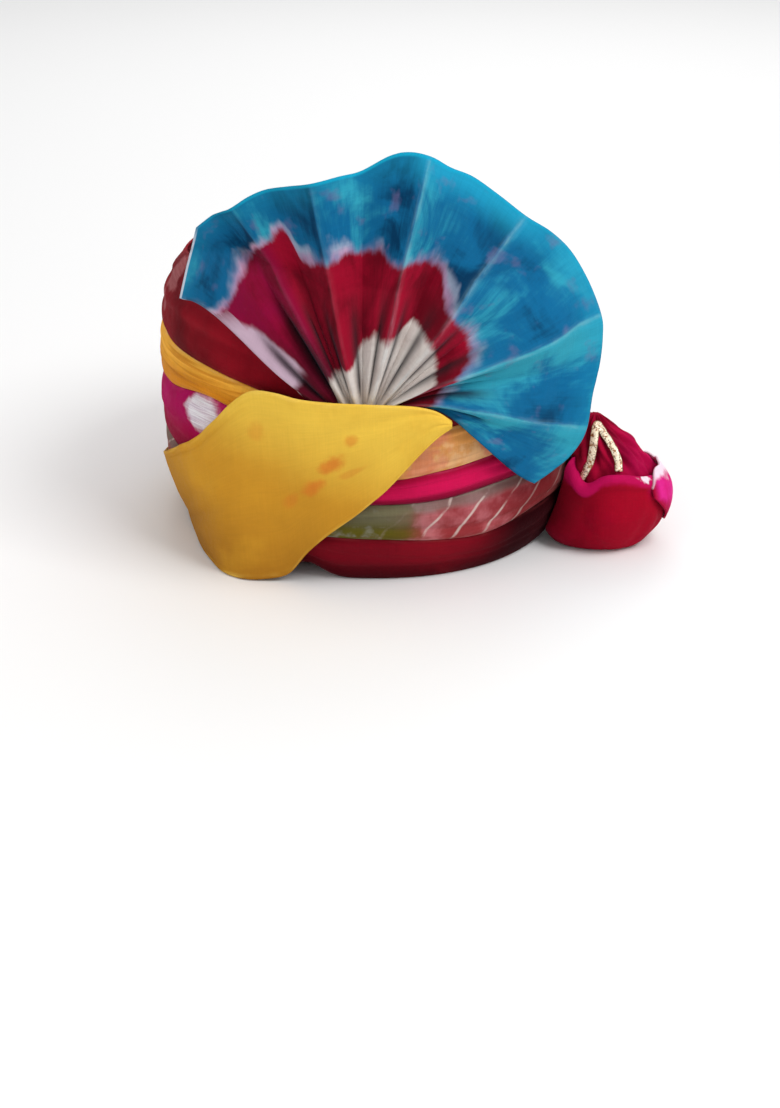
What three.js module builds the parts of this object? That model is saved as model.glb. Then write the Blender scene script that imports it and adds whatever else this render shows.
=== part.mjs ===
import * as THREE from 'three';

// A safa: a long cloth wound into a hat, with a pleated fan at the front and its tail end rolled at one side.
// Sizes are millimetres and angles degrees. +Z is up and the front looks along -Y. Every piece is placed
// about the hat's own axis, and the whole is then centred on its box. Angles round the hat start at the
// front and grow towards +X.

// The hat as a whole: half sizes to the sides (x) and to front and back (y)
const RIM_HALF = { x: 108, y: 112 };
const BELLY_HALF = { x: 125.5, y: 128 };
const BELLY_Z = 65;
const CROWN_Z = 172;
const PLAN_POWER = 2.15; // 2 would be an ellipse, more is squarer
const DOME_POWER = 4.3;
const FRONT_LIFT = 0.1; // the dome rises towards the front by this much per mm forward

// The hollow for the head
const HEAD = { x: 83, y: 90, topZ: 148, shoulderZ: 86, power: 2.5 };
const CROWN_BOTTOM_Z = 3;

// The crown lies deep under the bands and comes up to the surface above them
const CROWN_UNDER_BANDS = -14.6;
const CROWN_AT_TOP = -2.6;
const CROWN_RISE = { from: 118, to: 150 };
const CROWN_BAND_LEVELS = [20, 40, 60, 80, 100];
const CROWN_RISE_LEVELS = [118, 128, 138, 145];

const STEPS_ROUND = 48;
const GAP = 0.35; // between one layer and the next above
const CROWN_GAP = 0.7; // between the layers and the crown inside them

// Top edge of each wound layer, by angle round the hat
const BAND_TOPS = [
  { at: -180, base: 28, striped: 54, magenta: 86, amber: 112, red: 147 },
  { at: -135, base: 28, striped: 54, magenta: 88, amber: 114, red: 149 },
  { at: -90, base: 28, striped: 56, magenta: 93, amber: 116, red: 152 },
  { at: -70, base: 28, striped: 56, magenta: 94, amber: 115.5, red: 152 },
  { at: -45, base: 28, striped: 54, magenta: 98, amber: 113.5, red: 151 },
  { at: -22, base: 29, striped: 52, magenta: 86, amber: 106, red: 150 },
  { at: 0, base: 28, striped: 50.5, magenta: 66, amber: 91, red: 149 },
  { at: 15, base: 25.5, striped: 52, magenta: 69, amber: 92.5, red: 148 },
  { at: 30, base: 24.5, striped: 56.5, magenta: 74, amber: 97, red: 148 },
  { at: 50, base: 32, striped: 59.5, magenta: 78, amber: 102, red: 147 },
  { at: 90, base: 34, striped: 60, magenta: 83, amber: 106, red: 147 },
  { at: 135, base: 30, striped: 57, magenta: 86, amber: 110, red: 146 },
];

// Outer face of a band from its lower crease (up 0) to its upper one (up 1)
const BAND_PROFILE = [
  { up: 0, out: -3.6 },
  { up: 0.16, out: -0.9 },
  { up: 0.5, out: 0.3 },
  { up: 0.84, out: -0.9 },
  { up: 1, out: -3.6 },
];
const BASE_PROFILE = [
  { up: 0, out: -1.8 },
  { up: 0.12, out: -0.2 },
  { up: 0.5, out: 0.3 },
  { up: 0.86, out: -0.9 },
  { up: 1, out: -3.6 },
];
// The topmost layer thins out over the dome
const WRAP_PROFILE = [
  { up: 0, out: -3.6 },
  { up: 0.12, out: -0.8 },
  { up: 0.45, out: 0.4 },
  { up: 0.8, out: 0.4 },
  { up: 1, out: -0.4 },
];
const INNER_STOPS = [0.33, 0.66];
const NOTCH = { at: -18.5, spread: 5.8, lift: 10 }; // the rim is nipped up beside the sash

// The yellow sash: its lower and upper edge by angle, and how far each stands off the hat
const SASH_EDGES = [
  { at: -124, low: 9, high: 19, lowOut: 1, highOut: 1 },
  { at: -105, low: 6, high: 25, lowOut: 1, highOut: 1 },
  { at: -88, low: 4, high: 34, lowOut: 1.2, highOut: 1 },
  { at: -74, low: 2.5, high: 45.5, lowOut: 2.4, highOut: 1.2 },
  { at: -64, low: 1.2, high: 56, lowOut: 4.6, highOut: 2 },
  { at: -56, low: 1, high: 65.5, lowOut: 8.4, highOut: 3 },
  { at: -47, low: 0.8, high: 77, lowOut: 13.6, highOut: 4.4 },
  { at: -40, low: 0.8, high: 90.5, lowOut: 18, highOut: 4.8 },
  { at: -34, low: 0.8, high: 103, lowOut: 17.5, highOut: 5.5 },
  { at: -28, low: 1.8, high: 112.5, lowOut: 12, highOut: 7.5 },
  { at: -22, low: 6, high: 115.5, lowOut: 6, highOut: 9.5 },
  { at: -16, low: 22, high: 114.8, lowOut: 2.8, highOut: 11.2 },
  { at: -10, low: 36, high: 114.5, lowOut: 2.4, highOut: 11.2 },
  { at: -3, low: 51, high: 115, lowOut: 2.4, highOut: 11 },
  { at: 3.5, low: 69, high: 114.5, lowOut: 2.6, highOut: 11 },
  { at: 8, low: 83, high: 113, lowOut: 5.5, highOut: 10.8 },
  { at: 12, low: 94, high: 109.5, lowOut: 8.6, highOut: 10.4 },
  { at: 15, low: 99.5, high: 102.5, lowOut: 9.8, highOut: 9.8 },
];
const SASH = { thick: 2.2, hemThick: 3, hemFrom: 0.93, clear: 1, belly: 1.2 };
const SASH_STOPS = [0, 0.08, 0.25, 0.42, 0.6, 0.78, 0.91, 0.96, 1];
const SASH_STEP = 6.6;

// The fan's middle surface: it leans back, turns back at both sides and never comes nearer than "clear" to the hat
const FAN = {
  rootY: -133,
  rootZ: 111,
  tailZ: 104,
  lean: 0.33,
  leanFrom: 104,
  flatHalf: 15,
  turnWidth: 20,
  turnRight: 0.62,
  turnLeft: 0.95,
  thick: 2.2,
  clearLow: 4.8,
  clearMore: 3,
  clearFrom: 110,
  clearOver: 40,
};
const FAN_STOPS = [0, 0.06, 0.13, 0.21, 0.3, 0.4, 0.5, 0.61, 0.72, 0.83, 0.93, 1];
// A row per fold line from the gather to the edge. rise is forward for a ridge and backward for a valley;
// bend lifts the line's middle.
const FAN_FOLDS = [
  { rimX: -77, rimZ: 151, rootX: -24, rise: -0.6, bend: -6 },
  { rimX: -90, rimZ: 153, rootX: -22, rise: 0.5, bend: -3 },
  { rimX: -104, rimZ: 150, rootX: -20, rise: 1.2, bend: 0 },
  { rimX: -101, rimZ: 163, rootX: -19, rise: 0, bend: 3 },
  { rimX: -96, rimZ: 181, rootX: -18, rise: 2, bend: 6 },
  { rimX: -86, rimZ: 187, rootX: -17.2, rise: -3.2, bend: 8 },
  { rimX: -76, rimZ: 190, rootX: -16, rise: 4.5, bend: 9 },
  { rimX: -66, rimZ: 201, rootX: -14.6, rise: 0, bend: 7 },
  { rimX: -56, rimZ: 208, rootX: -13.2, rise: -4.5, bend: 4 },
  { rimX: -44, rimZ: 213, rootX: -11.7, rise: 0, bend: 2 },
  { rimX: -33, rimZ: 217, rootX: -10.2, rise: 4.5, bend: 0 },
  { rimX: -19, rimZ: 221, rootX: -8.4, rise: 0, bend: 0 },
  { rimX: -7, rimZ: 223, rootX: -6.8, rise: -4.5, bend: 0 },
  { rimX: 8, rimZ: 231, rootX: -5.5, rise: 0, bend: 0 },
  { rimX: 18, rimZ: 233, rootX: -4.3, rise: 2, bend: 0 },
  { rimX: 28, rimZ: 231, rootX: -3, rise: 5, bend: 0 },
  { rimX: 38, rimZ: 224, rootX: -1.8, rise: 0, bend: 1 },
  { rimX: 50, rimZ: 217, rootX: -0.5, rise: -5, bend: 2 },
  { rimX: 64, rimZ: 207, rootX: 0.8, rise: 0, bend: 3 },
  { rimX: 78, rimZ: 196, rootX: 2, rise: 5, bend: 4 },
  { rimX: 92, rimZ: 185, rootX: 3.2, rise: 0, bend: 5 },
  { rimX: 104, rimZ: 172, rootX: 4.4, rise: -5, bend: 5 },
  { rimX: 114, rimZ: 156, rootX: 5.4, rise: 0, bend: 6 },
  { rimX: 121, rimZ: 139, rootX: 6.4, rise: 5, bend: 6 },
  { rimX: 122.5, rimZ: 127, rootX: 7.4, rise: 0, bend: 7 },
  { rimX: 121.5, rimZ: 112, rootX: 8.6, rise: -4, bend: 8 },
  { rimX: 117.5, rimZ: 98, rootX: 9.8, rise: 0, bend: 8 },
  { rimX: 114.5, rimZ: 79, rootX: 11, rise: 3.5, bend: 8 },
  { rimX: 109, rimZ: 67, rootX: 12.4, rise: 0, bend: 9 },
  { rimX: 99.5, rimZ: 59, rootX: 13.8, rise: -1, bend: 10 },
  { rimX: 85, rimZ: 55, rootX: 15.2, rise: 0.5, bend: 10 },
];

// The rolled tail: a thick cup of cloth that stands on the floor and presses against the hat
const ROLL = { x: 131.5, y: -60, depthShare: 0.87, stepsRound: 32 };
const PRESSED = { outside: 1.2, inside: 7, tuck: 8 }; // how far each stands from the hat's side
const TUCK_LEANS = { from: 58, to: 66 }; // above the cup the gathered end leans back to the hat
const ROLL_OUTER = [
  { z: 0, half: 16 },
  { z: 3, half: 22.5 },
  { z: 11, half: 29.5 },
  { z: 24, half: 34 },
  { z: 36, half: 33 },
  { z: 44, half: 31.5 },
  { z: 49, half: 28.5 },
];
const ROLL_INNER = [
  { z: 45, half: 25.6 },
  { z: 34, half: 24.6 },
  { z: 21, half: 20 },
  { z: 11, half: 12 },
];

// The gathered end that rises out of the cup
const TUCK_LEVELS = [
  { z: 12, x: 131.5, y: -60, half: 10.5, gather: 0 },
  { z: 21.5, x: 131.5, y: -60, half: 18.6, gather: 0 },
  { z: 34, x: 131.5, y: -60, half: 23.4, gather: 0.2 },
  { z: 44, x: 131.5, y: -60, half: 24.2, gather: 0.5 },
  { z: 54, x: 130, y: -60, half: 20.5, gather: 1.2 },
  { z: 66, x: 127, y: -61, half: 13.5, gather: 1.4 },
  { z: 73, x: 125.5, y: -61, half: 7.5, gather: 0.9 },
  { z: 77.5, x: 126, y: -61, half: 3, gather: 0.2 },
];
const TUCK_GATHERS = 9;

// The cup's lip stands up beside the hat, dips under the gold edging and sinks below the flap. Its foot
// spreads towards the hat.
const LIP_TURNS = [
  { at: -150, spread: 20, lift: 6.5 },
  { at: -122, spread: 15, lift: -6 },
  { at: -88, spread: 22, lift: 2 },
  { at: 0, spread: 50, lift: -6 },
];
const LIP_RISE = { from: 30, to: 46 };
const FOOT = { at: -165, spread: 40, more: 0.38, below: 30 };

// The bright fold laid round the cup's outer side: its edges by angle round the cup, and its path over the lip
const FLAP_EDGES = [
  { at: -45, low: 33, high: 44 },
  { at: -34, low: 22, high: 52 },
  { at: -20, low: 14, high: 57 },
  { at: 2, low: 12, high: 58 },
  { at: 25, low: 13, high: 56.5 },
  { at: 50, low: 18, high: 51 },
  { at: 75, low: 28, high: 43 },
];
const FLAP_PROFILE = [
  { z: 11, half: 30.8 },
  { z: 24, half: 35.1 },
  { z: 36, half: 34.1 },
  { z: 44, half: 32.6 },
  { z: 49, half: 30 },
  { z: 55, half: 26.2 },
  { z: 59, half: 24 },
];
const FLAP = { thick: 2.2, stepsRound: 12, stops: 9 };

// Gold edging: an upside-down V over the gathered end. side is the angle round it from its front.
const GOLD_PATH = [
  { side: -36, z: 48 },
  { side: -27, z: 54 },
  { side: -16, z: 61.5 },
  { side: -6, z: 67 },
  { side: 5, z: 70 },
  { side: 15, z: 68.5 },
  { side: 18, z: 64.5 },
  { side: 14, z: 59 },
  { side: 5, z: 53.5 },
];
const GOLD = { wide: 4.2, thick: 1.2, off: 1.5 };

const COLOURS = {
  crown: '#5d1626',
  base_band: '#66091a',
  striped_band: '#7d7f5f',
  magenta_band: '#b00c50',
  amber_band: '#dc9a3c',
  upper_wrap: '#6b1424',
  front_sash: '#dfa82e',
  fan: '#1a7fae',
  tail_roll: '#ab0b3c',
  tail_tuck: '#7d0a24',
  tail_flap: '#c4147c',
  gold_trim: '#cfa765',
};

const radians = THREE.MathUtils.degToRad;
const mix = THREE.MathUtils.lerp;
const ease = (value, from, to) => THREE.MathUtils.smoothstep(value, from, to);

// One column of a table at any place along its key, as a smooth curve. With a period the table goes round.
function column(rows, key, name, place, period = 0) {
  const list = rows.map((row) => ({ at: row[key], value: row[name] }));
  if (period > 0) {
    const last = list[list.length - 1];
    const first = list[0];
    list.unshift({ at: last.at - period, value: last.value });
    list.push({ at: first.at + period, value: first.value }, { at: list[2].at + period, value: list[2].value });
  }
  const inside = THREE.MathUtils.clamp(place, list[0].at, list[list.length - 1].at);
  let low = 0;
  while (low < list.length - 2 && list[low + 1].at < inside) {
    low += 1;
  }
  const slope = (index) => {
    const before = list[Math.max(0, index - 1)];
    const after = list[Math.min(list.length - 1, index + 1)];
    return (after.value - before.value) / (after.at - before.at);
  };
  const from = list[low];
  const to = list[low + 1];
  const span = to.at - from.at;
  const t = (inside - from.at) / span;
  const start = (1 + 2 * t) * (1 - t) ** 2 * from.value + t * (1 - t) ** 2 * span * slope(low);
  const end = t * t * (3 - 2 * t) * to.value + t * t * (t - 1) * span * slope(low + 1);
  return start + end;
}

// A column read straight between its rows
function straight(rows, key, name, place) {
  const above = rows.findIndex((row) => row[key] >= place);
  const next = above < 0 ? rows.length - 1 : Math.max(1, above);
  const from = rows[next - 1];
  const to = rows[next];
  const t = THREE.MathUtils.clamp((place - from[key]) / (to[key] - from[key]), 0, 1);
  return mix(from[name], to[name], t);
}

// A point on the unit outline of the hat's plan
function planUnit(angle) {
  const sin = Math.sin(radians(angle));
  const cos = Math.cos(radians(angle));
  const power = 2 / PLAN_POWER;
  return { x: Math.sign(sin) * Math.abs(sin) ** power, y: -Math.sign(cos) * Math.abs(cos) ** power };
}

function halfSizes(z) {
  const drop = z < BELLY_Z ? ((BELLY_Z - z) / BELLY_Z) ** 2 : 0;
  const rise = z > BELLY_Z ? (1 - Math.min(1, (z - BELLY_Z) / (CROWN_Z - BELLY_Z)) ** DOME_POWER) : 1;
  const share = rise ** (1 / DOME_POWER);
  return {
    x: mix(BELLY_HALF.x, RIM_HALF.x, drop) * share,
    y: mix(BELLY_HALF.y, RIM_HALF.y, drop) * share,
  };
}

// The dome's front stands higher than its back
function lifted(x, y, z) {
  const share = Math.max(0, (z - BELLY_Z) / (CROWN_Z - BELLY_Z));
  return new THREE.Vector3(x, y, z - FRONT_LIFT * y * share ** 2);
}

// A point at a height on the hat's outside, moved out by "out"
function bodyPoint(angle, z, out) {
  const half = halfSizes(z);
  const unit = planUnit(angle);
  return lifted((half.x + out) * unit.x, (half.y + out) * unit.y, z);
}

// How far forward a surface standing "clear" off the hat's outside reaches, at a place seen from the front
function bodyFront(x, z, clear) {
  const frontLift = FRONT_LIFT * 100;
  let level = z;
  for (let pass = 0; pass < 6; pass += 1) {
    level = z - frontLift * Math.max(0, (level - BELLY_Z) / (CROWN_Z - BELLY_Z)) ** 2;
  }
  if (level >= CROWN_Z) {
    return Infinity;
  }
  const half = halfSizes(level);
  const side = Math.abs(x) / (half.x + clear);
  return side >= 1 ? Infinity : -(half.y + clear) * (1 - side ** PLAN_POWER) ** (1 / PLAN_POWER);
}

// A closed skin over rings of the same number of points. A looped skin joins its last ring to its first;
// otherwise both end rings are closed point against point, or to their middle.
function loft(rings, { loop = false, ends = 'ladder' } = {}) {
  const faces = [];
  const size = rings[0].length;
  const ringCount = loop ? rings.length : rings.length - 1;
  for (let r = 0; r < ringCount; r += 1) {
    const here = rings[r];
    const next = rings[(r + 1) % rings.length];
    for (let i = 0; i < size; i += 1) {
      const j = (i + 1) % size;
      faces.push([here[i], here[j], next[j]], [here[i], next[j], next[i]]);
    }
  }
  if (!loop) {
    for (const { ring, flip } of [{ ring: rings[0], flip: true }, { ring: rings[rings.length - 1], flip: false }]) {
      const cap = ends === 'ladder' ? ladderCap(ring) : middleCap(ring);
      for (const [a, b, c] of cap) {
        faces.push(flip ? [a, c, b] : [a, b, c]);
      }
    }
  }
  return faces;
}

function ladderCap(ring) {
  const faces = [];
  const last = ring.length - 1;
  for (let i = 0; i < ring.length / 2 - 1; i += 1) {
    faces.push([ring[i], ring[i + 1], ring[last - i]]);
    faces.push([ring[i + 1], ring[last - i - 1], ring[last - i]]);
  }
  return faces;
}

function middleCap(ring) {
  const middle = new THREE.Vector3();
  for (const point of ring) {
    middle.addScaledVector(point, 1 / ring.length);
  }
  return ring.map((point, i) => [point, ring[(i + 1) % ring.length], middle]);
}

function isFlat([a, b, c]) {
  const cross = new THREE.Vector3().crossVectors(b.clone().sub(a), c.clone().sub(a));
  return cross.length() < 1e-6;
}

function addPiece(group, name, faces, roughness = 0.85, metalness = 0) {
  const kept = faces.filter((face) => !isFlat(face));
  let volume = 0;
  for (const [a, b, c] of kept) {
    volume += a.dot(new THREE.Vector3().crossVectors(b, c)) / 6;
  }
  const positions = [];
  for (const [a, b, c] of kept) {
    const turned = volume < 0 ? [a, c, b] : [a, b, c];
    for (const point of turned) {
      positions.push(point.x, point.y, point.z);
    }
  }
  const geometry = new THREE.BufferGeometry();
  geometry.setAttribute('position', new THREE.Float32BufferAttribute(positions, 3));
  geometry.computeVertexNormals();
  const material = new THREE.MeshStandardMaterial({ color: COLOURS[name], roughness, metalness });
  const mesh = new THREE.Mesh(geometry, material);
  mesh.name = name;
  group.add(mesh);
}

function anglesRound(steps) {
  return Array.from({ length: steps }, (_, i) => (360 * i) / steps - 180);
}

function crownOut(z) {
  return mix(CROWN_UNDER_BANDS, CROWN_AT_TOP, ease(z, CROWN_RISE.from, CROWN_RISE.to));
}

function crownRing(angle) {
  const unit = planUnit(angle);
  const ring = [];
  for (const z of [CROWN_BOTTOM_Z, ...CROWN_BAND_LEVELS, ...CROWN_RISE_LEVELS, CROWN_RISE.to]) {
    ring.push(bodyPoint(angle, z, crownOut(z)));
  }
  const dome = { x: BELLY_HALF.x + CROWN_AT_TOP, y: BELLY_HALF.y + CROWN_AT_TOP };
  for (const share of [0.82, 0.66, 0.4, 0]) {
    const z = BELLY_Z + (CROWN_Z - BELLY_Z) * (1 - share ** DOME_POWER) ** (1 / DOME_POWER);
    ring.push(lifted(dome.x * share * unit.x, dome.y * share * unit.y, z));
  }
  for (const share of [0, 0.45, 0.75, 0.93]) {
    const z = HEAD.shoulderZ + (HEAD.topZ - HEAD.shoulderZ) * (1 - share ** HEAD.power) ** (1 / HEAD.power);
    ring.push(lifted(HEAD.x * share * unit.x, HEAD.y * share * unit.y, z));
  }
  for (const z of [HEAD.shoulderZ, CROWN_BOTTOM_Z]) {
    ring.push(new THREE.Vector3(HEAD.x * unit.x, HEAD.y * unit.y, z));
  }
  return ring;
}

function bandTop(name, angle) {
  return column(BAND_TOPS, 'at', name, angle, 360);
}

function rimHeight(angle) {
  return NOTCH.lift * Math.exp(-(((angle - NOTCH.at) / NOTCH.spread) ** 2));
}

// One section of a wound layer: its padded outer face going up, then its inner face coming down. The layer
// that lies over the crown's rise bends where the crown does.
function bandRing(angle, low, high, profile, overRise) {
  const outer = profile.map(({ up, out }) => bodyPoint(angle, mix(low, high, up), out));
  const bends = overRise ? CROWN_RISE_LEVELS : INNER_STOPS.map((up) => mix(low, high, up));
  const inner = [low, ...bends, high].map((z) => bodyPoint(angle, z, crownOut(z) + CROWN_GAP));
  return [...outer, ...inner.reverse()];
}

function addBands(group) {
  const layers = [
    { name: 'base_band', under: null, top: 'base', profile: BASE_PROFILE },
    { name: 'striped_band', under: 'base', top: 'striped', profile: BAND_PROFILE },
    { name: 'magenta_band', under: 'striped', top: 'magenta', profile: BAND_PROFILE },
    { name: 'amber_band', under: 'magenta', top: 'amber', profile: BAND_PROFILE },
    { name: 'upper_wrap', under: 'amber', top: 'red', profile: WRAP_PROFILE },
  ];
  for (const { name, under, top, profile } of layers) {
    const rings = anglesRound(STEPS_ROUND).map((angle) => {
      const low = under ? bandTop(under, angle) + GAP : rimHeight(angle);
      return bandRing(angle, low, bandTop(top, angle), profile, name === 'upper_wrap');
    });
    addPiece(group, name, loft(rings, { loop: true }));
  }
}

// One section of the sash, drawn straight from edge to edge and held off the layers below
function sashRing(angle) {
  const edge = (name) => column(SASH_EDGES, 'at', name, angle);
  const low = edge('low');
  const high = edge('high');
  const lowHalf = halfSizes(low).x + edge('lowOut');
  const highHalf = halfSizes(high).x + edge('highOut');
  const faces = SASH_STOPS.map((up) => {
    const z = mix(low, high, up);
    const taut = mix(lowHalf, highHalf, up) - halfSizes(z).x + SASH.belly * Math.sin(Math.PI * up);
    const inside = Math.max(SASH.clear, taut);
    const thick = up > SASH.hemFrom && up < 1 ? SASH.hemThick : SASH.thick;
    return { z, inside, outside: inside + thick };
  });
  const inner = faces.map(({ z, inside }) => bodyPoint(angle, z, inside));
  const outer = faces.map(({ z, outside }) => bodyPoint(angle, z, outside)).reverse();
  return [...inner, ...outer];
}

function addSash(group) {
  const first = SASH_EDGES[0].at;
  const last = SASH_EDGES[SASH_EDGES.length - 1].at;
  const steps = Math.round((last - first) / SASH_STEP);
  const rings = Array.from({ length: steps + 1 }, (_, i) => sashRing(mix(first, last, i / steps)));
  addPiece(group, 'front_sash', loft(rings));
}

const turnBack = (past) => Math.hypot(Math.max(0, past), FAN.turnWidth) - FAN.turnWidth;

function fanMiddle(x, z) {
  const lean = FAN.lean * Math.max(0, z - FAN.leanFrom);
  const right = FAN.turnRight * turnBack(x - FAN.flatHalf);
  const left = FAN.turnLeft * turnBack(-x - FAN.flatHalf);
  const clear = FAN.clearLow + FAN.clearMore * ease(z, FAN.clearFrom, FAN.clearFrom + FAN.clearOver);
  return Math.min(FAN.rootY + lean + right + left, bodyFront(x, z, clear));
}

// Pleats are tight at the gather, fullest a third of the way out and flatter at the edge
function pleatShare(along) {
  return along < 0.35 ? mix(0.4, 1, ease(along, 0, 0.35)) : mix(1, 0.6, ease(along, 0.35, 1));
}

function foldLine({ rimX, rimZ, rootX, rise, bend }) {
  const line = [{ x: rootX, z: FAN.tailZ, share: pleatShare(0) }];
  for (const along of FAN_STOPS) {
    line.push({
      x: mix(rootX, rimX, along),
      z: mix(FAN.rootZ, rimZ, along) + bend * 6.75 * along * (1 - along) ** 2,
      share: pleatShare(along),
    });
  }
  const face = (offset) => line.map(({ x, z, share }) => {
    const y = fanMiddle(x, z) - rise * share + offset;
    return new THREE.Vector3(x, y, z);
  });
  return [...face(-FAN.thick / 2), ...face(FAN.thick / 2).reverse()];
}

// The tail's pieces give way to the hat's side
function pressedOut(x, y, z, clear) {
  const half = halfSizes(z);
  const wide = half.x + clear;
  const deep = half.y + clear;
  const level = (Math.abs(x / wide) ** PLAN_POWER + Math.abs(y / deep) ** PLAN_POWER) ** (1 / PLAN_POWER);
  const push = level < 1 ? 1 / level : 1;
  return new THREE.Vector3(x * push, y * push, z);
}

// 1 at one angle round the cup, fading out over the spread to both sides
function swelling(angle, at, spread) {
  const away = ((angle - at + 540) % 360) - 180;
  return Math.exp(-((away / spread) ** 2));
}

function rollPoint(angle, z, half, clear) {
  const foot = FOOT.more * swelling(angle, FOOT.at, FOOT.spread) * (1 - ease(z, 0, FOOT.below));
  const x = ROLL.x + half * (1 + foot) * Math.cos(radians(angle));
  const y = ROLL.y + half * (1 + foot) * ROLL.depthShare * Math.sin(radians(angle));
  let lift = 0;
  for (const turn of LIP_TURNS) {
    lift += turn.lift * swelling(angle, turn.at, turn.spread);
  }
  return pressedOut(x, y, z + lift * ease(z, LIP_RISE.from, LIP_RISE.to), clear);
}

function addRoll(group) {
  const floorZ = ROLL_INNER[ROLL_INNER.length - 1].z;
  const rings = anglesRound(ROLL.stepsRound).map((angle) => [
    new THREE.Vector3(ROLL.x, ROLL.y, 0),
    ...ROLL_OUTER.map(({ z, half }) => rollPoint(angle, z, half, PRESSED.outside)),
    ...ROLL_INNER.map(({ z, half }) => rollPoint(angle, z, half, PRESSED.inside)),
    new THREE.Vector3(ROLL.x, ROLL.y, floorZ - 1),
  ]);
  addPiece(group, 'tail_roll', loft(rings, { loop: true }));
}

// A point on the gathered end: side 0 is its front
function tuckPoint(side, z, out) {
  const level = (name) => straight(TUCK_LEVELS, 'z', name, z);
  const gather = level('gather') * Math.cos(radians(side * TUCK_GATHERS));
  const half = level('half') + gather + out;
  const x = level('x') + half * Math.sin(radians(side));
  const y = level('y') - half * ROLL.depthShare * Math.cos(radians(side));
  const clear = mix(PRESSED.tuck, PRESSED.outside, ease(z, TUCK_LEANS.from, TUCK_LEANS.to));
  return pressedOut(x, y, z, clear + out);
}

function addTuck(group) {
  const steps = TUCK_GATHERS * 4;
  const rings = TUCK_LEVELS.map(({ z }) => anglesRound(steps).map((side) => tuckPoint(side, z, 0)));
  addPiece(group, 'tail_tuck', loft(rings, { ends: 'middle' }));
}

function addFlap(group) {
  const first = FLAP_EDGES[0].at;
  const last = FLAP_EDGES[FLAP_EDGES.length - 1].at;
  const rings = Array.from({ length: FLAP.stepsRound + 1 }, (_, i) => {
    const angle = mix(first, last, i / FLAP.stepsRound);
    const low = column(FLAP_EDGES, 'at', 'low', angle);
    const high = column(FLAP_EDGES, 'at', 'high', angle);
    const stops = Array.from({ length: FLAP.stops }, (_unused, k) => mix(low, high, k / (FLAP.stops - 1)));
    const flapHalf = (z) => straight(FLAP_PROFILE, 'z', 'half', z);
    const face = (out) => stops.map((z) => rollPoint(angle, z, flapHalf(z) + out, PRESSED.outside + out));
    return [...face(0), ...face(FLAP.thick).reverse()];
  });
  addPiece(group, 'tail_flap', loft(rings));
}

function addGold(group) {
  const middle = GOLD_PATH.map(({ side, z }) => tuckPoint(side, z, GOLD.off));
  const rings = middle.map((point, i) => {
    const along = middle[Math.min(i + 1, middle.length - 1)].clone().sub(middle[Math.max(i - 1, 0)]).normalize();
    const out = new THREE.Vector3(Math.sin(radians(GOLD_PATH[i].side)), -Math.cos(radians(GOLD_PATH[i].side)), 0.55);
    const across = new THREE.Vector3().crossVectors(along, out).normalize();
    const normal = new THREE.Vector3().crossVectors(across, along).normalize();
    const corner = (side, up) => point.clone().addScaledVector(across, side).addScaledVector(normal, up);
    const half = GOLD.wide / 2;
    return [corner(-half, 0), corner(half, 0), corner(half, GOLD.thick), corner(-half, GOLD.thick)];
  });
  addPiece(group, 'gold_trim', loft(rings), 0.4, 0.7);
}

const group = new THREE.Group();
addPiece(group, 'crown', loft(anglesRound(STEPS_ROUND).map(crownRing), { loop: true }));
addBands(group);
addSash(group);
addPiece(group, 'fan', loft(FAN_FOLDS.map(foldLine)));
addRoll(group);
addTuck(group);
addFlap(group);
addGold(group);

const box = new THREE.Box3().setFromObject(group);
const centre = box.getCenter(new THREE.Vector3());
for (const mesh of group.children) {
  mesh.geometry.translate(-centre.x, -centre.y, 0);
}

export default group;
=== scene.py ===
"""A safa: a long cloth wound into a hat, with a pleated, tie-dyed fan and a rolled tail.

The CAD model gives the frame. Every piece here is cloth with its folds, laid over its CAD node, which it
replaces. Only fan_gather has no node of its own. Lengths are millimetres about the hat's own axis and
angles are degrees. The front looks along -Y and angles start there.
"""

from functools import partialmethod, reduce

import bmesh
import bpy
import numpy as np
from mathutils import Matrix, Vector


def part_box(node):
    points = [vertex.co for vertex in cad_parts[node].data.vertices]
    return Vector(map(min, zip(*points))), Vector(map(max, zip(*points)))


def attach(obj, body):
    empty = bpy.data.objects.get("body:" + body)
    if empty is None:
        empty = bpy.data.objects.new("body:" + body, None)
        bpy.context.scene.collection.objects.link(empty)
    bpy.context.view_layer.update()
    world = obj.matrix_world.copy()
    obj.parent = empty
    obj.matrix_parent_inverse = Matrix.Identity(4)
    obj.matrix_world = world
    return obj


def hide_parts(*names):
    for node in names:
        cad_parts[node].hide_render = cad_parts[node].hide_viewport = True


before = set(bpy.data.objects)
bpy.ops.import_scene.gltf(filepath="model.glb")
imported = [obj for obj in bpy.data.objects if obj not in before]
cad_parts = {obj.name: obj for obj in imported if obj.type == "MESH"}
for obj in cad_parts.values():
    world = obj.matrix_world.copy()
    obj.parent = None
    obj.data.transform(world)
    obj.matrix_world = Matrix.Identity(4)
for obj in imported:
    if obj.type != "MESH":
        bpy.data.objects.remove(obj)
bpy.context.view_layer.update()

crown_low, crown_high = (np.array(corner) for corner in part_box("crown"))
HAT_AXIS = np.append((crown_low + crown_high)[:2] / 2, 0)


def table(names, rows):
    """A short table as one array per named column. The first column is its key."""
    return dict(zip(names.split(), np.array(rows, float).T))


# The hat as a whole: half sizes at the rim and the belly, and the shape of its plan and dome
RIM_X, RIM_Y = 108.0, 112.0
BELLY_X, BELLY_Y = 125.5, 128.0
BELLY_Z = 65.0
CROWN_Z = 172.0
PLAN_POWER = 2.15
DOME_POWER = 4.3
FRONT_LIFT = 0.1  # how much higher the dome's front stands
FRONT_Y = 100.0  # about how far forward the dome's front lies
LEVEL_ROUNDS = 6  # how often body_front corrects the level it works with

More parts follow.
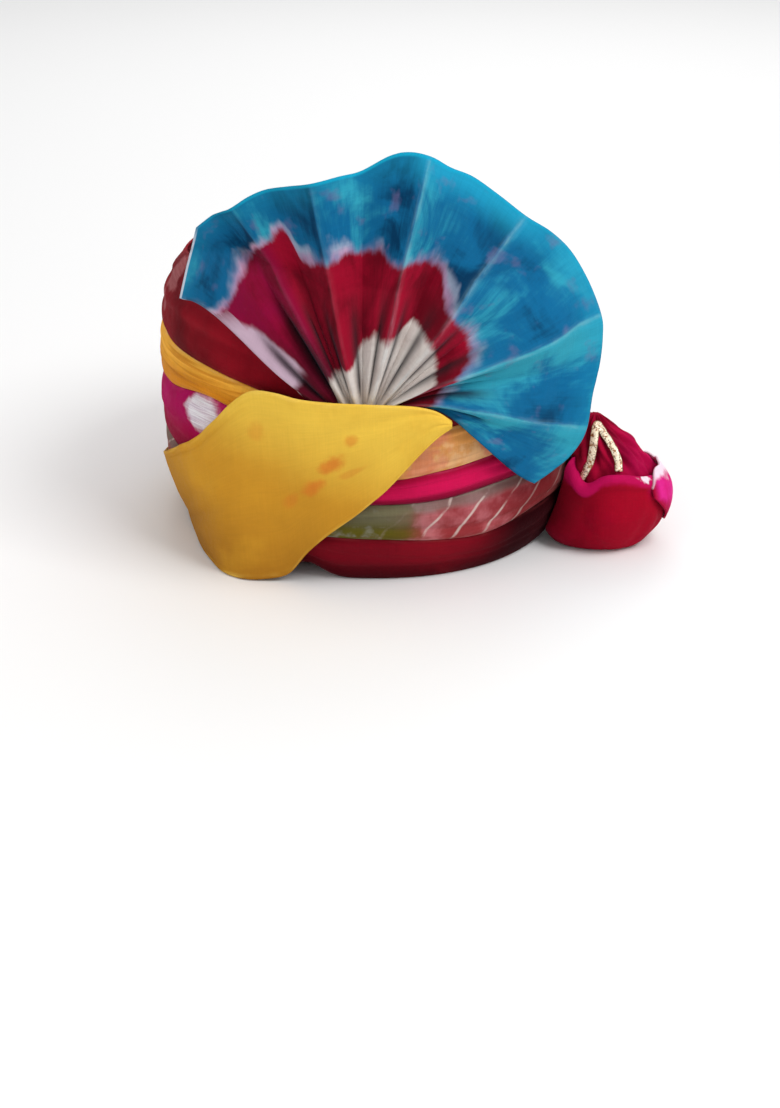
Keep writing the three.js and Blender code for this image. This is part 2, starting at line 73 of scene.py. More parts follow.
# The hollow for the head, and how deep the crown lies under the layers
HEAD_X, HEAD_Y = 83.0, 90.0
HEAD_TOP_Z, HEAD_SHOULDER_Z, HEAD_POWER = 148.0, 86.0, 2.5
CROWN_BOTTOM_Z = 3.0
CROWN_UNDER_BANDS, CROWN_AT_TOP = -14.6, -2.6
CROWN_RISE_FROM, CROWN_RISE_TO = 118.0, 150.0
CROWN_GAP = 0.7  # from the crown to the layers round it
GAP = 0.35  # from one layer to the next

BAND_TOPS = table(
    "at base striped magenta amber red",
    [
        (-180, 28, 54, 86, 112, 147),
        (-135, 28, 54, 88, 114, 149),
        (-90, 28, 56, 87.5, 116, 152),
        (-70, 28, 56, 91, 115.5, 152),
        (-45, 28, 54, 98, 113.5, 151),
        (-22, 29, 52, 86, 106, 150),
        (0, 28, 50.5, 66, 91, 149),
        (15, 25.5, 52, 69, 92.5, 148),
        (30, 24.5, 56.5, 74, 97, 148),
        (50, 32, 59.5, 78, 102, 147),
        (90, 34, 60, 83, 106, 147),
        (135, 30, 57, 86, 110, 146),
    ],
)
BAND_PROFILE = table("up out", [(0, -3.6), (0.16, -0.9), (0.5, 0.3), (0.84, -0.9), (1, -3.6)])
BASE_PROFILE = table("up out", [(0, -1.8), (0.12, -0.2), (0.5, 0.3), (0.86, -0.9), (1, -3.6)])
WRAP_PROFILE = table("up out", [(0, -3.6), (0.12, -0.8), (0.45, 0.4), (0.8, 0.4), (1, -0.4)])
# Where the rim is nipped up beside the sash
NOTCH_AT, NOTCH_SPREAD, NOTCH_LIFT = -18.5, 5.8, 10.0

SASH_EDGES = table(
    "at low high low_out high_out",
    [
        (-124, 9, 19, 1, 1),
        (-105, 6, 25, 1, 1),
        (-88, 4, 34, 1.2, 1),
        (-74, 2.5, 45.5, 2.4, 1.2),
        (-64, 1.2, 56, 4.6, 2),
        (-56, 1, 65.5, 8.4, 3),
        (-47, 0.8, 77, 13.6, 4.4),
        (-40, 0.8, 90.5, 18, 4.8),
        (-34, 0.8, 103, 17.5, 5.5),
        (-28, 1.8, 112, 12, 7.5),
        (-22, 6, 113.5, 6, 9.5),
        (-16, 22, 112.2, 2.8, 11.2),
        (-10, 36, 111.6, 2.4, 11.2),
        (-3, 51, 111.4, 2.4, 11),
        (3.5, 69, 110.8, 2.6, 11),
        (8, 83, 109.6, 5.5, 10.8),
        (12, 94, 106.6, 8.6, 10.4),
        (15, 99.5, 101.6, 9.8, 9.8),
    ],
)
# How far the sash keeps off the layers at least, and how far it bellies out
SASH_CLEAR, SASH_BELLY = 1.0, 1.2

# Where the fan's root lies, how it leans back as it rises, how its ends turn back along the hat and how far
# it keeps off the hat
FAN_ROOT_Y, FAN_ROOT_Z, FAN_TAIL_Z = -133.0, 111.0, 104.0
FAN_LEAN = 0.33
FAN_FLAT_HALF, FAN_TURN_WIDTH, FAN_TURN_RIGHT, FAN_TURN_LEFT = 15.0, 20.0, 0.62, 0.95
FAN_CLEAR_LOW, FAN_CLEAR_MORE, FAN_CLEAR_FROM, FAN_CLEAR_OVER = 4.8, 3.0, 110.0, 40.0
LAST_FOLD = 30
# A row per fold line of the fan from the gather to the edge: rise is forward, bend lifts the line's middle
FAN_FOLDS = table(
    "fold rim_x rim_z root_x rise bend",
    [
        (0, -77, 151, -29, -0.6, -6),
        (1, -90, 153, -27.5, 0.5, -3),
        (2, -104, 150, -26, 1.2, -2),
        (3, -101, 163, -23.5, 0, 1),
        (4, -96, 181, -20.5, 2, 5),
        (5, -86, 189, -18.5, -3.2, 7.5),
        (6, -76, 196, -16, 4.5, 9),
        (7, -66, 203, -14.6, 0, 7),
        (8, -56, 208, -13.2, -4.5, 4),
        (9, -44, 213, -11.7, 0, 2),
        (10, -33, 217, -10.2, 4.5, 0),
        (11, -19, 221, -8.4, 0, 0),
        (12, -7, 223, -6.8, -4.5, 0),
        (13, 8, 231, -5.5, 0, 0),
        (14, 18, 233, -4.3, 2, 0),
        (15, 28, 231, -3, 5, 0),
        (16, 38, 224, -1.8, 0, 1),
        (17, 50, 217, -0.5, -5, 2),
        (18, 64, 207, 0.8, 0, 3),
        (19, 78, 196, 2, 5, 4),
        (20, 92, 185, 3.2, 0, 5),
        (21, 104, 172, 4.4, -5, 5),
        (22, 114, 156, 5.4, 0, 6),
        (23, 121, 139, 6.4, 5, 6),
        (24, 122.5, 127, 7.4, 0, 7),
        (25, 121.5, 112, 8.6, -4, 8),
        (26, 117.5, 98, 9.8, 0, 8),
        (27, 114.5, 79, 11, 3.5, 8),
        (28, 109, 67, 12.4, 0, 9),
        (29, 99.5, 59, 13.8, -1, 10),
        (30, 85, 55, 15.2, 0.5, 10),
    ],
)

# The rolled tail: its place, its depth as a share of its width and how far its pieces keep off the hat
ROLL_X, ROLL_Y, ROLL_DEPTH_SHARE = 131.5, -60.0, 0.87
PRESSED_OUTSIDE, PRESSED_TUCK = 1.2, 8.0
TUCK_LEANS_FROM, TUCK_LEANS_TO = 48.0, 60.0
TUCK_LEVELS = table(
    "z x y half gather",
    [
        (12, 131.5, -60, 10.5, 0),
        (21.5, 131.5, -60, 18.6, 0),
        (34, 131.5, -60, 23.4, 0.2),
        (44, 131.5, -60, 24.2, 0.5),
        (54, 130, -60, 20.5, 1.2),
        (66, 127, -61, 13.5, 1.4),
        (73, 125.5, -61, 7.5, 0.9),
        (77.5, 126, -61, 3, 0.2),
    ],
)
# The cup's lip stands up beside the hat, dips under the gold edging and sinks below the flap
LIP_TURNS = table("at spread lift", [(-150, 20, 8), (-122, 15, -6), (-88, 22, 2), (0, 50, -6)])
LIP_RISE_FROM, LIP_RISE_TO = 30.0, 46.0
# The cup's foot is wider towards the hat
FOOT_AT, FOOT_SPREAD, FOOT_MORE, FOOT_BELOW = -165.0, 40.0, 0.38, 30.0
FLAP_EDGES = table(
    "at low high",
    [(-49, 36, 44), (-38, 27, 50.5), (-22, 19, 55), (2, 15, 55.5), (25, 16, 52), (50, 20, 46), (75, 28, 40)],
)
FLAP_PROFILE = table(
    "z half", [(11, 30.8), (24, 35.1), (36, 34.1), (44, 32.6), (49, 30), (55, 26.2), (59, 24)]
)


def mix(low, high, share):
    return low + (high - low) * share


def ease(value, low, high):
    share = np.clip((value - low) / (high - low), 0, 1)
    return share * share * (3 - 2 * share)


def fade(value, low, high):
    return 1 - ease(value, low, high)


def bell(value):
    return np.exp(-(value**2))


def sine(angle):
    return np.sin(np.radians(angle))


def cosine(angle):
    return np.cos(np.radians(angle))


def unit(vectors):
    return vectors / np.maximum(np.linalg.norm(vectors, axis=-1, keepdims=True), 1e-9)


def key(rows):
    return next(iter(rows.values()))


def each_row(rows):
    return zip(*rows.values())


def column(rows, name, place, period=0.0):
    """A column of a table at any places along its key, as a smooth curve. With a period it goes round."""
    at, value = key(rows), rows[name]
    if period:
        at = np.concatenate([[at[-1] - period], at, [at[0] + period, at[1] + period]])
        value = np.concatenate([[value[-1]], value, value[:2]])
    after = np.minimum(np.arange(len(at)) + 1, len(at) - 1)
    before = np.maximum(np.arange(len(at)) - 1, 0)
    slope = (value[after] - value[before]) / (at[after] - at[before])
    inside = np.clip(place, at[0], at[-1])
    low = np.clip(np.searchsorted(at, inside) - 1, 0, len(at) - 2)
    span = at[low + 1] - at[low]
    t = (inside - at[low]) / span
    start = (1 + 2 * t) * (1 - t) ** 2 * value[low] + t * (1 - t) ** 2 * span * slope[low]
    end = t * t * (3 - 2 * t) * value[low + 1] + t * t * (t - 1) * span * slope[low + 1]
    return start + end


def columns(rows, place):
    """All columns of a table but its key."""
    return [column(rows, name, place) for name in list(rows)[1:]]


def along_key(rows, count):
    """Even places from a table's first row to its last."""
    return np.linspace(key(rows)[0], key(rows)[-1], count)


def all_round(count):
    return np.linspace(-180, 180, count, endpoint=False)


# The surfaces that the pieces lie on


def plan_unit(angle):
    """The unit outline of the hat's plan."""
    across, back = sine(angle), -cosine(angle)
    power = 2 / PLAN_POWER
    return np.sign(across) * np.abs(across) ** power, np.sign(back) * np.abs(back) ** power


def half_sizes(z):
    drop = np.where(z < BELLY_Z, ((BELLY_Z - z) / BELLY_Z) ** 2, 0)
    rise = np.clip((z - BELLY_Z) / (CROWN_Z - BELLY_Z), 0, 1)
    share = (1 - rise**DOME_POWER) ** (1 / DOME_POWER)
    return mix(BELLY_X, RIM_X, drop) * share, mix(BELLY_Y, RIM_Y, drop) * share


def lift_share(z):
    return np.maximum(0, (z - BELLY_Z) / (CROWN_Z - BELLY_Z)) ** 2


def lifted(x, y, z):
    """The dome's front stands higher than its back."""
    return np.stack(np.broadcast_arrays(x, y, z - FRONT_LIFT * y * lift_share(z)), -1)


def body_point(angle, z, out):
    half_x, half_y = half_sizes(z)
    unit_x, unit_y = plan_unit(angle)
    return lifted((half_x + out) * unit_x, (half_y + out) * unit_y, z)


def body_front(x, z, clear):
    """How far forward a surface standing clear of the hat reaches, at a place seen from the front."""
    level = z
    for _ in range(LEVEL_ROUNDS):
        level = z - FRONT_LIFT * FRONT_Y * lift_share(level)
    half_x, half_y = half_sizes(np.minimum(level, CROWN_Z))
    side = np.minimum(1, np.abs(x) / (half_x + clear))
    front = -(half_y + clear) * (1 - side**PLAN_POWER) ** (1 / PLAN_POWER)
    return np.where((level >= CROWN_Z) | (side >= 1), np.inf, front)


def turn_back(past):
    return np.hypot(np.maximum(0, past), FAN_TURN_WIDTH) - FAN_TURN_WIDTH


def fan_middle(x, z):
    lean = FAN_LEAN * np.maximum(0, z - FAN_TAIL_Z)
    right = FAN_TURN_RIGHT * turn_back(x - FAN_FLAT_HALF)
    left = FAN_TURN_LEFT * turn_back(-x - FAN_FLAT_HALF)
    clear = FAN_CLEAR_LOW + FAN_CLEAR_MORE * ease(z, FAN_CLEAR_FROM, FAN_CLEAR_FROM + FAN_CLEAR_OVER)
    return np.minimum(FAN_ROOT_Y + lean + right + left, body_front(x, z, clear))


def crown_out(z):
    return mix(CROWN_UNDER_BANDS, CROWN_AT_TOP, ease(z, CROWN_RISE_FROM, CROWN_RISE_TO))


def pressed_out(x, y, z, clear):
    """The tail's pieces give way to the hat's side."""
    half_x, half_y = half_sizes(z)
    wide, deep = half_x + clear, half_y + clear
    level = (np.abs(x / wide) ** PLAN_POWER + np.abs(y / deep) ** PLAN_POWER) ** (1 / PLAN_POWER)
    push = np.where(level < 1, 1 / np.maximum(level, 1e-6), 1)
    return np.stack(np.broadcast_arrays(x * push, y * push, z), -1)


def angle_apart(angle, at):
    return (angle - at + 180) % 360 - 180


def swelling(angle, at, spread):
    """1 at one angle, fading out over the spread to both sides."""
    return bell(angle_apart(angle, at) / spread)


def roll_point(angle, z, half, clear):
    foot = 1 + FOOT_MORE * swelling(angle, FOOT_AT, FOOT_SPREAD) * fade(z, 0, FOOT_BELOW)
    x = ROLL_X + half * foot * cosine(angle)
    y = ROLL_Y + half * foot * ROLL_DEPTH_SHARE * sine(angle)
    lift = sum(rise * swelling(angle, at, spread) for at, spread, rise in each_row(LIP_TURNS))
    return pressed_out(x, y, z + lift * ease(z, LIP_RISE_FROM, LIP_RISE_TO), clear)


# Cloth as meshes

CRUMPLE_WAVES = 14
CRUMPLE_LENGTHS = (1.3, 2.8)  # a wave's length lies between these shares of the size


def crumple(points, size, seed, stretch=(1, 1, 1)):
    """Smooth random relief, about -1 to 1, with swells about size across."""
    rng = np.random.default_rng(seed)
    total = np.zeros(points.shape[:-1])
    for _ in range(CRUMPLE_WAVES):
        direction = rng.normal(size=3) * np.array(stretch)
        direction /= np.linalg.norm(direction)
        reach = 2 * np.pi / (size * rng.uniform(*CRUMPLE_LENGTHS))
        total += np.sin(points @ direction * reach + rng.uniform(0, 2 * np.pi))
    return total / np.sqrt(CRUMPLE_WAVES)


# The small creases of each piece: their height, their size and the seed of their waves
CREASES = {
    "crown_turns": (3.0, 80, 6),
    "crown": (0.45, 24, 5),
    "crown_fine": (0.3, 3, 8),
    "sash": (0.4, 34, 11),
    "fan": (0.8, 42, 21),
    "roll": (0.5, 17, 31),
    "tuck": (0.7, 15, 41),
    "flap": (0.5, 14, 51),
}


def creases(kind, points, below=0):
    """A piece's creases. With below set to 1 they stay under the surface."""
    height, size, seed = CREASES[kind]
    return height * (crumple(points, size, seed) - below)


def grid(down, across):
    """Two lists of places as one grid of pairs."""
    return np.stack(np.meshgrid(down, across, indexing="ij")[::-1], -1)


def bunched(count, ends):
    """Places from 0 to 1 that lie closer together at both ends."""
    even = np.linspace(0, 1, count)
    return mix(even, (1 - np.cos(np.pi * even)) / 2, ends)


def lengths(points, axis):
    """The distance along a grid's rows or columns, the same for every row or column, in metres."""
    step = np.linalg.norm(np.diff(points, axis=axis), axis=-1).mean(axis=1 - axis)
    return np.concatenate([[0], np.cumsum(step)]) / 1000


def piece(name, points, place, rows_wrap=False, marks=None):
    """A mesh over a grid of points whose columns go round, with any painted marks.

    place gives each point's position on the cloth as two numbers. It has one more column than the points,
    and one more row where the rows go round too.
    """
    rows, across = points.shape[:2]
    closed = np.pad(points, ((0, int(rows_wrap)), (0, 1), (0, 0)), mode="wrap")
    i, j = np.meshgrid(np.arange(len(closed) - 1), np.arange(across), indexing="ij")
    corners = [(i, j), (i, j + 1), (i + 1, j + 1), (i + 1, j)]
    faces = np.stack([(down % rows) * across + side % across for down, side in corners], -1)
    mesh = bpy.data.meshes.new(name)
    mesh.from_pydata((points / 1000 + HAT_AXIS).reshape(-1, 3).tolist(), [], faces.reshape(-1, 4).tolist())
    thread = grid(lengths(closed, 0), lengths(closed, 1))
    for layer_name, values in {"thread": thread, "place": place}.items():
        layer = mesh.uv_layers.new(name=layer_name)
        layer.data.foreach_set("uv", np.stack([values[corner] for corner in corners], 2).astype("f").ravel())
    for mark_name, values in (marks or {}).items():
        mark = mesh.attributes.new(mark_name, "FLOAT", "POINT")
        mark.data.foreach_set("value", values.astype("f").ravel())
    form = bmesh.new()
    form.from_mesh(mesh)
    bmesh.ops.remove_doubles(form, verts=form.verts, dist=1e-6)
    bmesh.ops.recalc_face_normals(form, faces=form.faces)
    form.to_mesh(mesh)
    form.free()
    mesh.shade_smooth()
    made = bpy.data.objects.new(name, mesh)
    bpy.context.scene.collection.objects.link(made)
    return made


def round_piece(name, points, down, rows_wrap, marks=None):
    """A piece whose place runs round it from -0.5 to 0.5."""
    around = np.linspace(-0.5, 0.5, points.shape[1] + 1)
    return piece(name, points, grid(down, around), rows_wrap, marks)


def there_and_back(values, *more):
    return np.concatenate([values, values[:, ::-1], *more], axis=1)


def capped(values):
    return np.concatenate([values[:1], values, values[-1:]])


def sheet_piece(name, middle, half, place, marks=None):
    """A thin cloth about its middle surface, closed all round, with half its thickness at each point."""
    shape = middle.shape[:2]
    slope = np.cross(np.gradient(middle, axis=1), np.gradient(middle, axis=0))
    offset = unit(slope) * np.broadcast_to(half, shape)[..., None]
    points = capped(there_and_back(middle))
    points[1:-1] += np.concatenate([offset, -offset[:, ::-1]], axis=1)
    marks = marks or {}
    doubled = {mark: capped(there_and_back(np.broadcast_to(marks[mark], shape))) for mark in marks}
    return piece(name, points, capped(there_and_back(place, place[:, :1])), marks=doubled)


# The wound layers

AROUND = 400
BAND_STEPS, BAND_BUNCHED = 34, 0.7
INNER_STEPS, WRAP_INNER_STEPS = 5, 7

# How the layers' edges wander round the sides and the back: waves round the hat, phase and height
WANDER = table("waves phase height", [(3, 40, 1.5), (5, 200, 1.0), (8, 95, 0.6)])
# How far the topmost layer's edge reaches on over the dome, and how that edge wanders
OVER_DOME = 5.0
OVER_WANDER = table("waves phase height", [(1, 250, 3.5), (2, 120, 2.4), (5, 20, 1.6), (9, 75, 0.7)])
MORE_AWAY = 0.8  # round the sides and the back the turns stand out by this share more
# Small creases of a layer: their size and height, what they add to the layer's seed and which way they run
BAND_CREASES = [(26, 0.35, 0, (1, 1, 2.5)), (7, 0.22, 20, (0.1, 0.1, 1))]

# The turns of cloth in each layer. Each line is a turn's lower edge: where on the layer's height it lies,
# how it wanders, how wide and deep its crease is, how far it stands out over the turn below and how much
# lighter its dye is.
TURN_COLUMNS = "up sway waves phase width depth step lighter"
LAYER_TURNS = {
    "base_band": [(0.32, 0.08, 2, 40, 0.035, 0.4, 1.0, 0.6), (0.66, 0.1, 3, 200, 0.03, 0.4, 0.9, -0.5)],
    "striped_band": [(0.34, 0.09, 2, 130, 0.035, 0.4, 1.0, -0.5), (0.7, 0.08, 3, 20, 0.03, 0.4, 0.9, 0.6)],
    "magenta_band": [(0.28, 0.06, 3, 310, 0.035, 0.5, 1.1, 0.6), (0.62, 0.12, 2, 75, 0.03, 0.4, 1.1, -0.4)],
    "amber_band": [
        (0.3, 0.07, 2, 250, 0.03, 0.4, 0.9, -0.5),
        (0.56, 0.06, 3, 100, 0.03, 0.4, 0.9, 0.6),
        (0.8, 0.03, 1, 20, 0.03, 0.6, 1.0, 0.3),
    ],
    "upper_wrap": [
        (0.28, 0.14, 1, 170, 0.03, 0.5, 1.4, 0.5),
        (0.54, 0.2, 1, 200, 0.028, 0.5, 1.5, -0.5),
        (0.82, 0.14, 1, 215, 0.026, 0.4, 1.3, 0.6),
    ],
}

LAYER_SEED = 60
# Each layer's piece, the two upper edges that it lies between, the profile of its face and its finish
LAYERS = [
    ("base_band", None, "base", BASE_PROFILE, "maroon_cloth"),
    ("striped_band", "base", "striped", BAND_PROFILE, "striped_cloth"),
    ("magenta_band", "striped", "magenta", BAND_PROFILE, "magenta_cloth"),
    ("amber_band", "magenta", "amber", BAND_PROFILE, "amber_cloth"),
    ("upper_wrap", "amber", "red", WRAP_PROFILE, "wine_cloth"),
]


def waves_round(rows, angle, own=1):
    """The sum of a table's waves round the hat. own sets one edge's waves apart from another's."""
    return sum(height * sine(waves * angle + phase * own) for waves, phase, height in each_row(rows))


def away(angle):
    """0 on the side that the photograph shows, 1 round the other sides and the back."""
    return ease(angle, 55, 85) + ease(-angle, 85, 110)


def layer_top(name, angle):
    """The height of a layer's upper edge."""
    own = list(BAND_TOPS).index(name)
    top = column(BAND_TOPS, name, angle, 360) + away(angle) * waves_round(WANDER, angle, own)
    if name == "red":
        top = top + OVER_DOME + waves_round(OVER_WANDER, angle)
    return top


def turn_relief(name, angle, up):
    """How far a layer's turns draw its face in, in millimetres, and how light the dye is from 0 to 1."""
    relief = np.zeros(np.broadcast(angle, up).shape)
    light = np.full(relief.shape, 0.5)
    rows = table(TURN_COLUMNS, LAYER_TURNS[name])
    for at, sway, waves, phase, width, depth, step, lighter in each_row(rows):
        turned = np.radians(angle * waves + phase)
        apart = (up - at - sway * np.sin(turned)) / width
        relief -= depth * (0.6 + 0.4 * np.sin(turned * 2 + phase)) * bell(apart)
        relief += step * (np.tanh(apart) - 1) / 2 * bell(apart / 6)
        light += lighter * (np.tanh(apart) + 1) / 2
    return relief, np.clip(light, 0, 1)


def band(name, under, top, profile, seed):
    angle = all_round(AROUND)
    notch = NOTCH_LIFT * bell((angle - NOTCH_AT) / NOTCH_SPREAD)
    low = layer_top(under, angle) + GAP if under else notch
    high = layer_top(top, angle)
    up = bunched(BAND_STEPS, BAND_BUNCHED)[:, None]
    z = mix(low, high, up)
    plain = body_point(angle, z, 0)
    relief, light = turn_relief(name, angle, up)
    for size, height, more, stretch in BAND_CREASES:
        relief = relief + height * (crumple(plain, size, seed + more, stretch) - 1)
    relief = relief * np.sin(np.pi * up) ** 0.5 * (1 + MORE_AWAY * away(angle))
    outer = body_point(angle, z, column(profile, "out", up) + relief)
    inner_up = np.linspace(1, 0, WRAP_INNER_STEPS if name == "upper_wrap" else INNER_STEPS)[:, None]
    inner_z = mix(low, high, inner_up)
    inner = body_point(angle, inner_z, crown_out(inner_z) + CROWN_GAP)
    height = np.concatenate([up[:, 0], inner_up[:, 0], [0]])
    marks = {"turn": np.concatenate([light, np.full(inner.shape[:2], 0.5)])}
    return round_piece(name, np.concatenate([outer, inner]), height, True, marks)


# The crown: turns of cloth laid side by side over the dome, each over the last, with a smooth hollow inside

WALL_STEPS, RISE_STEPS, DOME_STEPS, HOLLOW_STEPS, SIDE_STEPS = 5, 14, 76, 16, 9
CROWN_STRIP = 27.0  # how wide each turn shows
CROWN_LEAN = 28.0  # how far the turns run askew, in degrees
CROWN_BOW = 0.0022  # how strongly they are bowed
CROWN_STEP = 2.4  # how far each turn stands over the next
CROWN_EDGE = 0.13  # the share of a turn that its rounded edge takes up
CROWN_ROUND = 1.6  # how much each turn bulges
CROWN_LIGHT = 0.45  # how much lighter or darker a turn may be


def crown_piece():
    angle = all_round(AROUND)
    unit_x, unit_y = plan_unit(angle)
    rise_z = np.linspace(CROWN_RISE_FROM + 4, CROWN_RISE_TO, RISE_STEPS)
    wall_z = np.concatenate([np.linspace(CROWN_BOTTOM_Z, CROWN_RISE_FROM, WALL_STEPS), rise_z])
    wall = body_point(angle, wall_z[:, None], crown_out(wall_z)[:, None])
    edge_x = half_sizes(np.array(CROWN_RISE_TO))[0] + CROWN_AT_TOP
    dome_x, dome_y = BELLY_X + CROWN_AT_TOP, BELLY_Y + CROWN_AT_TOP
    share = np.linspace(edge_x / dome_x, 0, DOME_STEPS)[1:, None]
    rise = (1 - share**DOME_POWER) ** (1 / DOME_POWER)
    flat = lifted(dome_x * share * unit_x, dome_y * share * unit_y, mix(BELLY_Z, CROWN_Z, rise))
    over = flat[..., 0] * cosine(CROWN_LEAN) + flat[..., 1] * sine(CROWN_LEAN)
    beside = flat[..., 1] * cosine(CROWN_LEAN) - flat[..., 0] * sine(CROWN_LEAN)
    turn = (over + CROWN_BOW * beside**2 + creases("crown_turns", flat)) / CROWN_STRIP
    saw = turn - np.floor(turn)
    bulge = (saw / (1 - CROWN_EDGE)) ** CROWN_ROUND
    fold = np.where(saw < 1 - CROWN_EDGE, bulge, ease(1 - saw, 0, CROWN_EDGE))
    sunk = CROWN_STEP * (fold - 1) + creases("crown", flat, below=1)
    sunk = sunk + creases("crown_fine", np.stack([turn * 9, beside / 14, 0 * beside], -1))
    sunk = sunk * fade(share, 0.93, 0.98)
    dome = flat + np.stack([unit_x * share * sunk, unit_y * share * sunk, rise * sunk], -1)
    inner = np.sin(np.linspace(0, np.pi / 2, HOLLOW_STEPS))[:, None]
    inner_z = mix(HEAD_SHOULDER_Z, HEAD_TOP_Z, (1 - inner**HEAD_POWER) ** (1 / HEAD_POWER))
    hollow = lifted(HEAD_X * inner * unit_x, HEAD_Y * inner * unit_y, inner_z)
    side_z = np.linspace(HEAD_SHOULDER_Z, CROWN_BOTTOM_Z, SIDE_STEPS)[1:, None]
    side = np.stack(np.broadcast_arrays(HEAD_X * unit_x, HEAD_Y * unit_y, side_z), -1)
    points = np.concatenate([wall, dome, hollow, side])
    light = np.full(points.shape[:2], 0.5)
    light[len(wall) : len(wall) + len(dome)] += CROWN_LIGHT * np.sin(2.4 * np.floor(turn) + 1)
    return round_piece("crown", points, np.linspace(0, 1, len(points) + 1), True, {"turn": light})


# The yellow sash

SASH_ROWS, SASH_COLUMNS, SASH_BUNCHED = 60, 170, 0.6
SASH_HALF = 0.6
SASH_HEM = 0.035
HEM_MORE = 0.9  # how much thicker the cloth is at the hems of the sash and the fan
HEM_LINE = 0.93  # how far up the sash the folded hem of its upper left edge ends
HEM_LINE_DEPTH, HEM_LINE_WIDTH = 0.8, 0.014
HEM_LINE_STARTS, HEM_LINE_ENDS = (0.3, 0.42), (0.64, 0.74)  # along the sash
# Its back end goes in under the rim: how deep, over what share of its length, how low, how much narrower
SASH_DIVE, SASH_DIVE_OVER, SASH_DIVE_Z, SASH_NARROW = 4.2, 0.14, 3.0, 0.9
SASH_OFF, TURNED_OFF = 1.1, 1.2  # how far its middle keeps off the layers, and its turned-in edge
SASH_RUFFLE = 0.5  # along its upper edge, near the back end
# Its upper edge is turned in: how far in, how far down and by how many rows
TURN_IN, TURN_DOWN, TURN_ROWS = 4.0, 6.0, 9
# Soft draped hollows across the sash: along is from its back end to its tip, up from its lower edge
SASH_HOLLOWS = table(
    "along up slope depth width",
    [
        (0.5, 0.5, 0.55, 1.5, 0.06),
        (0.6, 0.45, 0.75, 1.4, 0.05),
        (0.36, 0.6, 0.3, 0.8, 0.05),
        (0.7, 0.7, 0.5, 1.1, 0.045),
        (0.82, 0.3, 0.7, 0.5, 0.05),
    ],
)


def sash_piece():
    angle = along_key(SASH_EDGES, SASH_COLUMNS)
    along = np.linspace(0, 1, SASH_COLUMNS)
    up = bunched(SASH_ROWS, SASH_BUNCHED)[:, None]
    low, high, low_out, high_out = columns(SASH_EDGES, angle)
    diving = fade(along, 0, SASH_DIVE_OVER)
    narrow = SASH_NARROW * diving
    low, high = mix(low, SASH_DIVE_Z, narrow), mix(high, SASH_DIVE_Z + 2, narrow)
    z = mix(low, high, up)
    low_half, high_half = half_sizes(low)[0] + low_out, half_sizes(high)[0] + high_out
    taut = mix(low_half, high_half, up) - half_sizes(z)[0] + SASH_BELLY * np.sin(np.pi * up)
    stand = np.maximum(SASH_CLEAR, taut) + SASH_OFF
    relief = np.zeros_like(z)
    for at, middle, slope, depth, width in each_row(SASH_HOLLOWS):
        relief -= depth * bell((along - at - slope * (up - middle)) / width) * np.sin(np.pi * up) ** 0.7
    ruffle = SASH_RUFFLE * np.sin(along * 95 + 2 * np.sin(along * 23))
    relief += ruffle * ease(up, 0.8, 1) * fade(along, 0.55, 0.7) + creases("sash", body_point(angle, z, 0))
    hem_line = HEM_LINE_DEPTH * bell((up - HEM_LINE) / HEM_LINE_WIDTH)
    relief -= hem_line * ease(along, *HEM_LINE_STARTS) * fade(along, *HEM_LINE_ENDS)
    stand = stand + relief * ease(stand, 1.6, 4) - SASH_DIVE * diving
    turn = np.linspace(0, 1, TURN_ROWS + 1)[1:, None]
    room = np.clip(stand[-1] - TURNED_OFF, 0, TURN_IN)
    down = (0.8 * np.sin(np.pi * turn) - TURN_DOWN * turn**1.5) * room / TURN_IN
    turned_in = body_point(angle, high + down, stand[-1] - room * ease(turn, 0, 0.6))
    middle = np.concatenate([body_point(angle, z, stand), turned_in])
    rows = np.append(up[:, 0], 1 + 0.06 * turn[:, 0])
    half = SASH_HALF * (1 + HEM_MORE * fade(rows, SASH_HEM * 0.6, SASH_HEM * 0.9)[:, None])
    return sheet_piece("front_sash", middle, half, grid(rows, along))


# The fan

FAN_ROWS, FAN_SPLIT = 110, 9
FAN_HALF = 0.5
FAN_RIM = 0.012
TUCKED_IN = 0.06  # the fan's root goes on behind the sash by this share of its rays
RIDGE_FOLDS = np.array([-2.0, 2, 6, 10, 15, 19, 23, 27, 31])
INNER_PLEAT, INNER_LIFT, INNER_WIDTH = 3.2, 0.3, 0.08
RIDGE_WIDE, RIDGE_NARROW, VALLEY_WIDTH = 0.05, 0.02, 0.09  # the widths of the painted marks
ROWS_CLOSER = 1.15  # how much closer its rows lie near the root
PLEAT_MORE = 1.35  # the cloth's pleats are deeper than the CAD's
PLEAT_AT_ROOT, PLEAT_FULL_AT, PLEAT_AT_EDGE = 0.4, 0.35, 0.6
CORNER_FOLD = 5  # up to this fold the rim has sharp corners
# The corner's lower crease bows upwards, by this much two thirds of the way out
CORNER_BOW, BOW_FROM, BOW_TO = 10.0, 2.0, 9.0
THIRDS = 6.75  # share * (1 - share)² times this is 1 a third of the way along


def pleat_share(along):
    """How deep the pleats are: full part of the way out, and less at the root and the edge."""
    near_root = mix(PLEAT_AT_ROOT, 1, ease(along, 0, PLEAT_FULL_AT))
    near_edge = mix(1, PLEAT_AT_EDGE, ease(along, PLEAT_FULL_AT, 1))
    return np.where(along < PLEAT_FULL_AT, near_root, near_edge)


